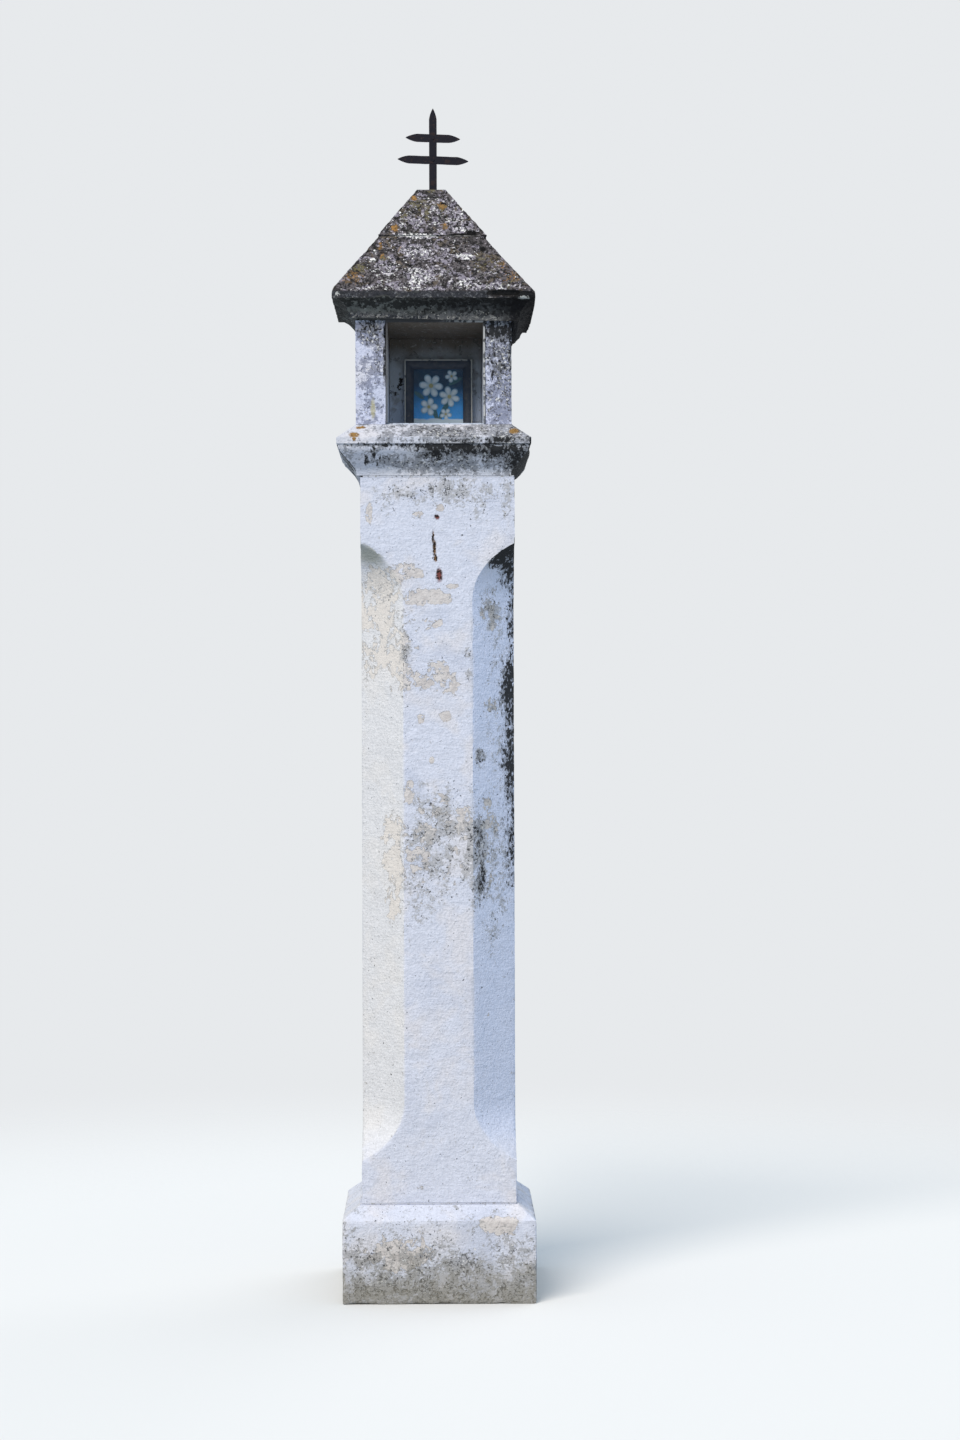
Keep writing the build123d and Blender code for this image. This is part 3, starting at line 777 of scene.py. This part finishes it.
# Darker upwards: soot and painted shade; paler and bluer low down: painted light.
smoke_and_shade_level = smoked_and_shaded.along((0, 0, 1)) + smoked_and_shaded.grain(0.06) * 0.1 - 0.05
smoked_and_shaded.coat((0.47, 0.50, 0.55), smoke_and_shade_level.rise(niche_low + 0.06, niche_low + 0.14))
smoked_and_shaded.coat((0.165, 0.138, 0.114), smoke_and_shade_level.rise(niche_low + 0.15, niche_high))
smoked_and_shaded.coat((0.14, 0.10, 0.08), smoked_and_shaded.grain(0.04, rough=0.65, shift=2.0).rise(0.56, 0.66) * 0.4)
smoked_and_shaded.coat((0.07, 0.065, 0.06), smoked_and_shaded.flecks(0.008, 0.26, 3.0) * 0.5)
smoked_and_shaded.coat((0.42, 0.42, 0.40), smoked_and_shaded.flecks(0.004, 0.22, 6.0) * 0.5)
soot = smoked_and_shaded.blots(
    [((-0.094, 0.095, 2.431), (0.016, 0.03, 0.019), 1), ((-0.110, 0.095, 2.41), (0.014, 0.03, 0.010), 1)],
    soft=0.5,
)
smoked_and_shaded.coat((0.02, 0.018, 0.018), smoked_and_shaded.flecks(0.005, soot * 0.45, 9.0))
# Its front edge is painted dark as a shadow line, and the bare stone shows bright in places on the right.
front_edge = smoked_and_shaded.along((0, 1, 0)).rise(-0.196, -0.203)
to_right = smoked_and_shaded.along((1, 0, 0)).rise(0.0, 0.1)
smoked_and_shaded.coat((0.06, 0.062, 0.07), front_edge * 0.85)
bright_edge = front_edge * to_right * smoked_and_shaded.flecks(0.008, 0.62, 12.0)
smoked_and_shaded.coat((0.46, 0.46, 0.47), bright_edge)
smoked_and_shaded.height = smoked_and_shaded.grain(0.006, rough=0.65) * 0.0012 + smoked_and_shaded.grain(0.03, 2.0, 0.5) * 0.002
render_material = smoked_and_shaded.done(0.92)

render_cuts = 5
float_marks = 0.0005
for side in ("floor", "ceiling", "left_lining", "right_lining", "back_lining"):
    coat_name = "niche_" + side
    shell = bmesh.new()
    shell.from_mesh(solids[coat_name].data)
    bmesh.ops.remove_doubles(shell, verts=shell.verts, dist=1e-5)
    bmesh.ops.dissolve_limit(shell, angle_limit=0.01, verts=shell.verts, edges=shell.edges)
    for _ in range(render_cuts):
        bmesh.ops.subdivide_edges(shell, edges=shell.edges, cuts=1, use_grid_fill=True)
    shell.normal_update()
    for vertex in shell.verts:
        wave = noise.noise(vertex.co / 0.05) + 0.5 * noise.noise(vertex.co / 0.015)
        vertex.co -= vertex.normal * float_marks * (1 + wave)
        vertex.co.x += niche_offset
    coat_mesh = bpy.data.meshes.new("floated_" + coat_name)
    shell.to_mesh(coat_mesh)
    shell.free()
    dress(stand_in("floated_" + coat_name, coat_mesh, coat_name), render_material)


# Eave stone: one stone with a hollow moulding under a square eave and the lower half of the roof
# on top. It was cut by eye, so its underside drops towards the back right. Frost has chipped the
# eave, white and orange lichen cover the slopes, and the moulding is black with algae and with
# painted shade.
eave_half_width = 0.265
eave_rim = 2.6307
fascia_height = 0.02
hollow_foot = 2.5707
hollow_height = 0.04
lower_slope_height = 0.163
wall_face = 0.2066
eave_low, eave_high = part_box("eave_stone")


def cut_by_eye(points):
    """Let the eave's lower edge rise to the back left, with the foot's lip dying out there, and
    drop and round off to the back right, where the hollow is shallow. The foot's lip hangs lower
    on the right. Only what stands out beyond the walls moves, and the slopes, which lie a little
    to the left."""
    across, depth, level = points.T
    out = np.maximum(np.abs(across), np.abs(depth))
    back = np.clip((depth + eave_half_width) / (2 * eave_half_width), 0, 1)
    fascia = np.clip((eave_rim - level) / fascia_height, 0, 1)
    hollow = np.clip((level - hollow_foot) / hollow_height, 0, 1)
    left = np.clip(-across / 0.2, 0, 1)
    right = np.clip(across / 0.2, 0, 1)
    beyond = np.clip((out - 0.220) / 0.014, 0, 1)
    # The lower edge.
    right_drop = 0.012 * np.clip(back / 0.12, 0, 1) + 0.003 * back
    lift = (0.017 * left * hollow * back - right_drop * right * beyond) * fascia
    # The foot's lip.
    lip = np.clip((np.maximum(np.abs(across), -depth) - 0.2065) / 0.004, 0, 1)
    lip_drop = np.interp(across, (-0.222, 0.222), (0.001, -0.009)) * lip
    lift = lift + lip_drop * np.clip((2.600 - level) / 0.025, 0, 1)
    # The left-hand return draws in towards the back, the right-hand one is rounded and shallow.
    converging = 0.0155 * np.clip((depth + 0.222) / 0.25, 0, 1)
    drawn_in = converging * (1 - hollow) * (across < -wall_face)
    rounded = (0.009 * back**4 - 0.003) * fascia**2 * (across > 0.22)
    filled = hollow * (1 - hollow) * back * (across > wall_face)
    drawn_in = drawn_in + 0.048 * filled
    lift = lift - 0.036 * filled
    # The slopes.
    slope = np.clip((level - eave_rim) / 0.016, 0, 1)
    up_slope = np.clip((level - eave_rim) / lower_slope_height, 0, 1)
    tilt = slope * (0.004 * left + (0.003 + 0.007 * up_slope) * right)
    moved = np.clip(across + drawn_in - rounded - tilt, eave_low.x, eave_high.x)
    return np.stack([moved, depth, level + lift], 1)


eave_stone = worn_stone(
    "eave_stone",
    mesh_size=0.0037,
    relief=0.0011,
    knocks=[
        ((0.274, -0.274, 2.640), (0.024, 0.024, 0.020)),
        ((0.186, -0.269, 2.624), (0.048, 0.016, 0.010)),
        ((0.240, -0.273, 2.612), (0.022, 0.012, 0.008)),
        ((-0.272, -0.272, 2.612), (0.012, 0.012, 0.010)),
        ((-0.272, -0.10, 2.614), (0.010, 0.04, 0.010)),
        ((-0.05, -0.273, 2.609), (0.030, 0.011, 0.006)),
        ((-0.178, -0.176, 2.752), (0.012, 0.010, 0.008)),
    ],
    joints="bottom",
    rough=0.0015,
    settle=cut_by_eye,
)


def roof_stone(name, white=(), ochre=(), olive=(), shaded_pits=()):
    """Bare dark stone under a crust of pale lichen, with white flecks, orange and olive growths
    and dark pits. White lichen grows on the slopes alone."""
    finish = new_finish(name, (0.118, 0.106, 0.116))
    finish.up = finish.towards((0, 0, 1))
    slope = finish.up.rise(0.25, 0.5)
    clouds = finish.grain(0.06)
    dark = finish.grain(0.028, rough=0.7, shift=2.0).rise(0.49, 0.58)
    finish.coat((0.032, 0.030, 0.031), dark * 0.82, -0.0006)
    finish.coat((0.125, 0.098, 0.065), finish.flecks(0.016, 0.34, 6.0) * 0.6)
    patches = finish.blots(white, 0.7)
    share = clouds.rise(0.35, 0.65) * 0.26 + patches * 0.45 + 0.14
    finish.coat((0.285, 0.26, 0.325), finish.flecks(0.010, share * 1.08, 10.0) * slope * 0.85, 0.0006)
    finish.coat((0.54, 0.51, 0.57), finish.flecks(0.0040, share * 0.74, 14.0) * slope, 0.0012)
    finish.coat((0.92, 0.91, 0.91), finish.flecks(0.0034, patches * 0.42 + 0.10, 16.0) * slope, 0.0008)
    finish.coat((0.012, 0.012, 0.013), finish.flecks(0.0034, 0.40, 18.0) * 0.9, -0.0020)
    growth = finish.blots(ochre, 0.6)
    finish.coat((0.19, 0.125, 0.065), finish.flecks(0.006, growth * 0.62, 24.0) * growth * 0.85, 0.0004)
    finish.coat((0.40, 0.215, 0.075), finish.flecks(0.0036, growth * 0.42, 22.0) * growth, 0.0006)
    moss = finish.blots(olive, 0.6)
    finish.coat((0.165, 0.145, 0.075), finish.flecks(0.0045, moss * 0.55, 26.0) * moss * 0.8, 0.0005)
    # Painted shade: the pits, knocks and open joint are coloured near black.
    finish.coat((0.007, 0.007, 0.008), finish.blots(shaded_pits, 0.3), -0.003)
    finish.height = finish.grain(0.009, rough=0.7, shift=30.0) * 0.005 + finish.height
    return finish


eave_finish = roof_stone(
    "lichened_eave_stone",
    white=[
        ((-0.153, -0.178, 2.746), (0.007, 0.03, 0.005), 1.6),
        ((-0.160, -0.196, 2.721), (0.008, 0.03, 0.005), 1.6),
        ((0.086, -0.187, 2.733), (0.024, 0.03, 0.011), 1.0),
        ((-0.048, -0.178, 2.746), (0.042, 0.04, 0.021), 0.6),
        ((-0.122, -0.222, 2.697), (0.042, 0.04, 0.036), 0.5),
        ((-0.035, -0.240, 2.664), (0.037, 0.04, 0.021), 0.8),
        ((-0.048, -0.221, 2.688), (0.026, 0.03, 0.011), 0.9),
        ((-0.053, -0.258, 2.640), (0.026, 0.03, 0.008), 0.9),
        ((0.018, -0.224, 2.685), (0.031, 0.03, 0.013), 0.6),
        ((0.075, -0.249, 2.652), (0.036, 0.03, 0.013), 0.7),
        ((0.168, -0.256, 2.643), (0.057, 0.03, 0.010), 0.45),
        ((-0.126, -0.249, 2.652), (0.021, 0.03, 0.010), 0.6),
        ((-0.159, -0.258, 2.640), (0.018, 0.03, 0.006), 0.7),
        ((0.044, -0.171, 2.755), (0.021, 0.03, 0.008), 0.5),
        ((-0.009, -0.262, 2.635), (0.200, 0.03, 0.006), 0.4),
        ((-0.040, -0.142, 2.793), (0.045, 0.02, 0.006), 1.0),
    ],
    ochre=[
        ((-0.140, -0.166, 2.761), (0.008, 0.03, 0.016), 1),
        ((-0.132, -0.187, 2.733), (0.007, 0.03, 0.016), 1),
        ((-0.087, -0.173, 2.752), (0.006, 0.03, 0.013), 0.8),
        ((-0.210, -0.235, 2.670), (0.034, 0.04, 0.024), 0.76),
        ((0.182, -0.208, 2.706), (0.018, 0.03, 0.018), 0.75),
        ((0.200, -0.232, 2.672), (0.032, 0.03, 0.020), 0.72),
        ((0.150, -0.195, 2.722), (0.016, 0.03, 0.014), 0.6),
    ],
    olive=[
        ((-0.129, -0.192, 2.727), (0.012, 0.03, 0.014), 1),
        ((-0.192, -0.214, 2.697), (0.022, 0.03, 0.018), 1),
        ((0.140, -0.205, 2.712), (0.050, 0.05, 0.040), 0.7),
        ((0.205, -0.250, 2.650), (0.040, 0.04, 0.016), 0.6),
    ],
    shaded_pits=[
        ((-0.175, -0.176, 2.749), (0.009, 0.02, 0.005), 1),
        ((-0.092, -0.194, 2.724), (0.005, 0.02, 0.003), 1),
        ((0.065, -0.199, 2.718), (0.008, 0.02, 0.0034), 1),
        ((0.131, -0.171, 2.755), (0.009, 0.02, 0.0066), 1),
        ((-0.061, -0.208, 2.706), (0.008, 0.02, 0.003), 1),
    ],
)
# Fascia: black, with grey specks and a chipped pale lower edge.
eave_edge = eave_finish.up.rise(0.40, 0.05)
eave_finish.coat((0.034, 0.037, 0.046), eave_edge * 0.88)
eave_finish.coat((0.16, 0.165, 0.185), eave_edge * eave_finish.flecks(0.0036, 0.32, 32.0) * 0.7, 0.0006)
eave_level = eave_finish.along((0, 0, 1)) + eave_finish.grain(0.02, shift=31.0) * 0.008
lower_edge = eave_level.rise(2.622, 2.614) * eave_edge
eave_finish.coat((0.34, 0.33, 0.33), eave_finish.flecks(0.0045, lower_edge * 0.34, 33.0) * 0.8)
# Hollow: damp and black, greyer and a little green towards the left. The black on what faces down is algae
# and painted shade.
hollow = eave_finish.up.rise(-0.02, -0.35)
greening = eave_finish.along((-1, 0, 0)) + eave_finish.grain(0.05, shift=35.0) * 0.30
hollow_tone = eave_finish.blend((0.062, 0.063, 0.066), (0.185, 0.190, 0.182), greening.rise(0.02, 0.30))
eave_finish.coat(hollow_tone, hollow * 0.95)
damp_patches = eave_finish.grain(0.035, 4.0, 0.75, shift=42.0).rise(0.42, 0.64)
eave_finish.coat((0.014, 0.015, 0.016), hollow * damp_patches * 0.5)
eave_finish.coat((0.16, 0.16, 0.155), hollow * eave_finish.flecks(0.006, 0.24, 40.0) * 0.7)
# The black flecks crowd up under the fascia as painted shadow.
near_fascia = eave_level.rise(2.588, 2.606) * 0.30 + 0.36
eave_finish.coat((0.012, 0.012, 0.013), hollow * eave_finish.flecks(0.0055, near_fascia, 38.0) * 0.80)
# Foot of the hollow: a grey crust with pale crumbs just over the walls.
foot_height = 0.034
foot_top = eave_low.z + foot_height
wavering = eave_finish.grain(0.07, rough=0.65, shift=36.0) * 0.05 - 0.025
foot_level = (eave_level + wavering).rise(foot_top, foot_top - foot_height)
eave_finish.coat((0.15, 0.15, 0.155), eave_finish.flecks(0.009, foot_level * 0.62, 34.0) * 0.8)
eave_finish.coat((0.40, 0.39, 0.37), eave_finish.flecks(0.0036, foot_level * 0.30, 37.0) * 0.9, 0.0006)
# Right-hand end: black. Two pale chips, and a notch painted dark as shade.
far_right = eave_finish.along((1, 0, 0)) + eave_finish.grain(0.03, shift=41.0) * 0.06
far_right = far_right.rise(0.185, 0.240) * (1 - eave_finish.up.rise(0.1, 0.4))
eave_finish.coat((0.008, 0.008, 0.010), far_right * 0.92)
end_white = eave_finish.blots(
    [
        ((-0.252, -0.265, 2.621), (0.008, 0.03, 0.008), 1),
        ((0.235, -0.265, 2.613), (0.013, 0.03, 0.0045), 1),
    ]
)
eave_finish.coat((0.52, 0.52, 0.52), end_white * eave_finish.flecks(0.005, 0.52, 39.0))
notch_shade = eave_finish.blot((0.186, -0.262, 2.623), (0.050, 0.03, 0.009), soft=0.4)
eave_finish.coat((0.018, 0.018, 0.019), notch_shade * 0.9)
dress(eave_stone, eave_finish.done(0.93))


# Cap stone: the upper half of the roof, set back a little on the lower half, with the cross
# run into its flat top. Some of the joint under it has washed out.
cap_top = 2.9357
cap_height = 0.137


def widened_to_the_right(points):
    """Let the stone spread a little more on the right than on the left, and rise a little."""
    across, depth, level = points.T
    down = np.clip((cap_top - level) / cap_height, 0, 1)
    spread = np.where(across > 0, 0.002 + 0.010 * down, 0.002 + 0.004 * down)
    lift = 0.003 * np.clip((level - 2.80) / 0.12, 0, 1)
    moved = spread * np.clip(across / 0.03, -1, 1)
    return points + np.stack([moved, across * 0, lift], 1)


cap_stone = worn_stone(
    "cap_stone",
    mesh_size=0.0029,
    relief=0.0020,
    knocks=[
        ((0.105, -0.140, 2.804), (0.018, 0.014, 0.009)),
        ((0.065, -0.142, 2.799), (0.03, 0.010, 0.006)),
    ],
    joints="bottom",
    rough=0.0020,
    settle=widened_to_the_right,
)
cap_finish = roof_stone(
    "lichened_cap_stone",
    white=[
        ((0.000, -0.095, 2.860), (0.120, 0.06, 0.080), 0.30),
        ((-0.040, -0.108, 2.838), (0.032, 0.04, 0.016), 0.5),
        ((0.000, -0.079, 2.878), (0.013, 0.03, 0.013), 0.6),
        ((0.077, -0.095, 2.856), (0.027, 0.04, 0.021), 0.45),
        ((0.050, -0.108, 2.838), (0.011, 0.03, 0.006), 0.8),
        ((0.071, -0.123, 2.816), (0.027, 0.03, 0.008), 0.9),
        ((-0.085, -0.115, 2.829), (0.006, 0.03, 0.005), 1.2),
        ((-0.040, -0.134, 2.800), (0.050, 0.02, 0.0035), 1.4),
    ],
    ochre=[
        ((0.024, -0.073, 2.887), (0.011, 0.03, 0.013), 1.5),
        ((-0.051, -0.055, 2.912), (0.008, 0.03, 0.010), 1.4),
        ((-0.102, -0.121, 2.819), (0.010, 0.03, 0.013), 1.5),
        ((0.031, -0.117, 2.825), (0.012, 0.03, 0.011), 1.1),
    ],
    olive=[
        ((-0.077, -0.097, 2.853), (0.014, 0.03, 0.018), 1.1),
        ((-0.019, -0.095, 2.856), (0.012, 0.03, 0.026), 1),
        ((-0.035, -0.070, 2.885), (0.035, 0.04, 0.040), 0.9),
        ((0.026, -0.075, 2.884), (0.016, 0.03, 0.020), 0.8),
        ((-0.003, -0.039, 2.934), (0.014, 0.03, 0.010), 1),
        ((0.026, -0.084, 2.872), (0.006, 0.03, 0.007), 1),
    ],
    shaded_pits=[
        ((0.103, -0.130, 2.805), (0.014, 0.02, 0.007), 1),
        ((0.087, -0.115, 2.829), (0.005, 0.02, 0.003), 1),
        ((0.027, -0.067, 2.895), (0.007, 0.02, 0.0025), 1),
        ((0.075, -0.134, 2.800), (0.035, 0.02, 0.0035), 1),
    ],
)
dress(cap_stone, cap_finish.done(0.93))


# Socket of the cross: mortar packed round the iron and smoothed up as a low collar. It has
# darkened with the roof, and rust has run into its top.
cross_socket = worn_stone("cross_socket", mesh_size=0.0016, relief=0.0012, wear=0.8)
collar = new_finish("collar_mortar", (0.16, 0.15, 0.11))
collar.coat((0.045, 0.043, 0.040), collar.flecks(0.004, 0.40))
collar.coat((0.20, 0.09, 0.045), collar.along((0, 0, 1)).rise(2.937, 2.942) * 0.8)
collar.height = collar.grain(0.004, rough=0.7) * 0.0014
dress(cross_socket, collar.done(0.95))


# Cross: flat iron bars forged to points, the two cross bars halved into the upright and each held
# by one rivet. The scale on it is nearly black with a little rust, and a purple sheen is painted on
# what faces down.
iron = new_finish("forged_iron", (0.012, 0.0115, 0.018))
# Painted sheen: what faces down is coloured purple.
iron.coat((0.010, 0.008, 0.034), iron.towards((0, 0, -1)).rise(-0.1, 0.8) * 0.8)
iron.coat((0.040, 0.024, 0.022), iron.flecks(0.006, 0.30, 2.0) * 0.5, 0.0002)
iron.coat((0.07, 0.042, 0.034), iron.flecks(0.003, 0.14, 5.0) * 0.5, 0.0002)
iron.height = iron.grain(0.004) * 0.0004 + iron.grain(0.018, 2.0, 0.5) * 0.0012 + iron.height
iron_material = iron.done(0.75)

for bar in ("cross_upright", "cross_lower_bar", "cross_upper_bar"):
    forged_bar = worn_stone(bar, mesh_size=0.0015, relief=0.0004, wear=0.05)
    dress(forged_bar, iron_material)
for rivet in ("cross_lower_rivet", "cross_upper_rivet"):
    dress(solids[rivet], iron_material)


# Picture frame: four mitred lengths of dark moulding, their narrow outer rim painted pale as a
# highlight, leaning against the back of the niche.
frame_low, frame_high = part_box("picture_frame_bottom")
frame_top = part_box("picture_frame_top")[1]
frame_half_width = (frame_high.x - frame_low.x) / 2
frame_lean = math.radians(3)
frame_half_height = (frame_top.z - frame_low.z) / 2 / math.cos(frame_lean)
frame_middle = Vector(
    ((frame_low.x + frame_high.x) / 2, (frame_low.y + frame_top.y) / 2, (frame_low.z + frame_top.z) / 2)
)
frame_up = (0, math.sin(frame_lean), math.cos(frame_lean))
rim_width = 0.003


def across_picture(finish):
    """How far right of the picture's middle and how far up it a point is, in metres."""
    offset = finish.vector("SUBTRACT", finish.place, frame_middle)
    right = finish.vector("DOT_PRODUCT", offset, (1, 0, 0), "Value")
    up = finish.vector("DOT_PRODUCT", offset, frame_up, "Value")
    return right, up


wood = new_finish("stained_moulding", (0.028, 0.042, 0.070))
wood_right, wood_up = across_picture(wood)
wood.coat((0.055, 0.066, 0.088), wood.grain(0.004, stretch=(6, 1, 6)).rise(0.4, 0.65))
wood.coat((0.16, 0.15, 0.14), wood.flecks(0.003, 0.14, 4.0) * 0.5)
rim_side = frame_half_width - rim_width
rim_top = frame_half_height - rim_width
side_rim = wood.math("ABSOLUTE", wood_right).rise(rim_side - 0.0003, rim_side)
top_rim = wood.math("ABSOLUTE", wood_up).rise(rim_top - 0.0006, rim_top)
rim_highlight = wood.math("MAXIMUM", side_rim, top_rim)
# The outer rim is painted pale as a highlight.
wood.coat((0.55, 0.54, 0.50), rim_highlight * wood.flecks(0.008, 0.85, 9.0))
wood.height = wood.grain(0.003, detail=2.0) * 0.0002
wood_material = wood.done(0.5, gloss=0.4)
for side in ("bottom", "right", "top", "left"):
    dress(solids["picture_frame_" + side], wood_material)


# Picture: a faded print of white flowers on blue, over a pale cloth. It lies on a backing board
# behind a pane of glass, and the frame holds all three.
printed = new_finish("faded_print", (0.035, 0.085, 0.155))
print_right, print_up = across_picture(printed)
wash = printed.grain(0.035)
printed.coat((0.10, 0.47, 1.00), (print_up + wash * 0.06).rise(0.080, -0.03) * 0.95)


def flower(centre_right, centre_up, radius, petals, turn):
    """Paint one open flower: pale rounded petals round a yellowish eye."""
    right = print_right - centre_right
    up = print_up - centre_up
    reach = printed.math("SQRT", right * right + up * up)
    angle = printed.math("ARCTAN2", up, right) * (petals / 2) + turn
    petal = printed.math("ABSOLUTE", printed.math("COSINE", angle))
    outline = (printed.math("POWER", petal, 0.6) * 0.55 + 0.45) * radius
    printed.coat((0.36, 0.50, 0.62), (outline - reach).rise(-0.0010, 0.0010))
    printed.coat((0.90, 0.94, 0.96), (outline * 0.94 - reach).rise(-0.0005, 0.004) * petal)
    printed.coat((0.55, 0.62, 0.68), reach.rise(radius * 0.50, radius * 0.22) * 0.8)
    printed.coat((0.50, 0.44, 0.22), reach.rise(radius * 0.22, radius * 0.15))


def leaf(centre_right, centre_up, length, width, turn):
    """Paint one long leaf."""
    right = print_right - centre_right
    up = print_up - centre_up
    along = (right * math.cos(turn) + up * math.sin(turn)) / length
    across = (up * math.cos(turn) - right * math.sin(turn)) / width
    printed.coat((0.08, 0.19, 0.22), (along * along + across * across).rise(1.1, 0.85))


leaf(-0.014, -0.030, 0.040, 0.007, 1.9)
leaf(0.016, -0.034, 0.036, 0.007, 1.1)
leaf(0.046, 0.044, 0.020, 0.006, 0.5)
leaf(-0.052, 0.006, 0.016, 0.006, 2.5)
flower(-0.020, 0.032, 0.033, 6, 0.3)
flower(0.030, 0.002, 0.029, 6, 0.9)
flower(-0.026, -0.026, 0.025, 5, 0.0)
flower(0.036, 0.058, 0.018, 5, 1.2)
flower(0.020, -0.046, 0.017, 5, 0.6)
# The cloth below them.
cloth_edge = (print_up + printed.grain(0.03, 1.0, 0.5, shift=5.0) * 0.012).rise(-0.052, -0.056)
printed.coat((0.78, 0.86, 0.92), cloth_edge)
printed.shade(printed.grain(0.02, shift=9.0) * 0.3 + 0.85)
dress(solids["picture_print"], printed.done(0.6))

board = new_finish("backing_board", (0.20, 0.15, 0.10))
board.coat((0.12, 0.09, 0.06), board.flecks(0.006, 0.4))
board.height = board.grain(0.002, 2.0, 0.5) * 0.0002
dress(solids["picture_board"], board.done(0.9))

glass = new_finish("picture_glass")
clear = glass.node("ShaderNodeBsdfTransparent", {}, {"Color": (0.95, 0.97, 0.98)})
gloss = glass.node("ShaderNodeBsdfGlossy", {}, {"Color": (1, 1, 1), "Roughness": 0.06})
fresnel = glass.node("ShaderNodeFresnel", {}, {"IOR": 1.3})
dust = glass.flecks(0.008, 0.3) * 0.01
pane = glass.either(fresnel * 0.45 + dust, clear, gloss)
dress(solids["picture_glass"], glass.covered(pane))


# Studio: a pale floor that fades into a pale background, one broad soft light high on the left
# and in front, a weak one behind on the right, and the photograph's own viewpoint.
floor_radius = 9.0
fade_from = 1.6
fade_to = 4.5
floor_mesh = bpy.data.meshes.new("floor")
floor_shape = bmesh.new()
bmesh.ops.create_circle(floor_shape, cap_ends=True, segments=96, radius=floor_radius)
floor_shape.to_mesh(floor_mesh)
floor_shape.free()
floor = bpy.data.objects.new("floor", floor_mesh)
bpy.context.scene.collection.objects.link(floor)
floor_finish = new_finish("pale_floor")
flat_place = floor_finish.vector("MULTIPLY", floor_finish.place, (1, 1, 0))
distance = floor_finish.vector("LENGTH", flat_place, output="Value")
floor_seen = floor_finish.node("ShaderNodeBsdfDiffuse", {}, {"Color": (0.78, 0.78, 0.79)})
floor_unseen = floor_finish.node("ShaderNodeBsdfDiffuse", {}, {"Color": (0.32, 0.33, 0.32)})
floor_clear = floor_finish.node("ShaderNodeBsdfTransparent", {}, {"Color": (1, 1, 1)})
camera_ray = floor_finish.node("ShaderNodeLightPath", output="Is Camera Ray")
floor_cover = floor_finish.either(camera_ray, floor_unseen, floor_seen)
floor_shader = floor_finish.either(distance.rise(fade_from, fade_to), floor_cover, floor_clear)
floor_mesh.materials.append(floor_finish.covered(floor_shader))

sky = Finish(bpy.data.worlds.new("studio"))
soft_light = sky.node("ShaderNodeBackground", {}, {"Color": (0.70, 0.86, 1.0), "Strength": 0.65})
backdrop = sky.node("ShaderNodeBackground", {}, {"Color": (0.80, 0.82, 0.84), "Strength": 1.0})
seen = sky.node("ShaderNodeLightPath", output="Is Camera Ray")
mirrored = sky.node("ShaderNodeLightPath", output="Is Glossy Ray")
seen_through = sky.node("ShaderNodeLightPath", output="Is Transmission Ray")
backdrop_share = sky.math("MAXIMUM", sky.math("MAXIMUM", seen, mirrored), seen_through)
sky_mix = sky.either(backdrop_share, soft_light, backdrop)
sky.node("ShaderNodeOutputWorld", {}, {"Surface": sky_mix})
bpy.context.scene.world = sky.owner


def broad_light(name, towards_it, spread, strength, colour):
    """A broad soft light that falls evenly on the whole height of the shrine."""
    lamp = bpy.data.lights.new(name, "SUN")
    lamp.angle = math.radians(spread)
    lamp.energy = strength
    lamp.color = colour
    holder = bpy.data.objects.new(name, lamp)
    holder.location = Vector(towards_it) * 5
    holder.rotation_euler = Vector(towards_it).to_track_quat("Z", "Y").to_euler()
    bpy.context.scene.collection.objects.link(holder)


broad_light("key_light", (-0.36, -0.64, 0.62), spread=36, strength=2.85, colour=(1.0, 0.91, 0.79))
broad_light("back_light", (0.60, 0.62, 0.50), spread=50, strength=0.7, colour=(1.0, 0.98, 0.95))


# Camera: its place, lens and turn were solved from the photograph's edges. It stands at eye
# height, 7.4 m in front of the shrine.
camera_data = bpy.data.cameras.new("camera")
camera_data.sensor_width = 36.0
camera_data.lens = 68.41
camera = bpy.data.objects.new("camera", camera_data)
camera.location = (-0.0023, -7.36, 1.4635)
camera.rotation_euler = [math.radians(angle) for angle in (90.415, 0.174, -0.968)]
bpy.context.scene.collection.objects.link(camera)
bpy.context.scene.camera = camera
bpy.context.scene.view_settings.view_transform = "Standard"
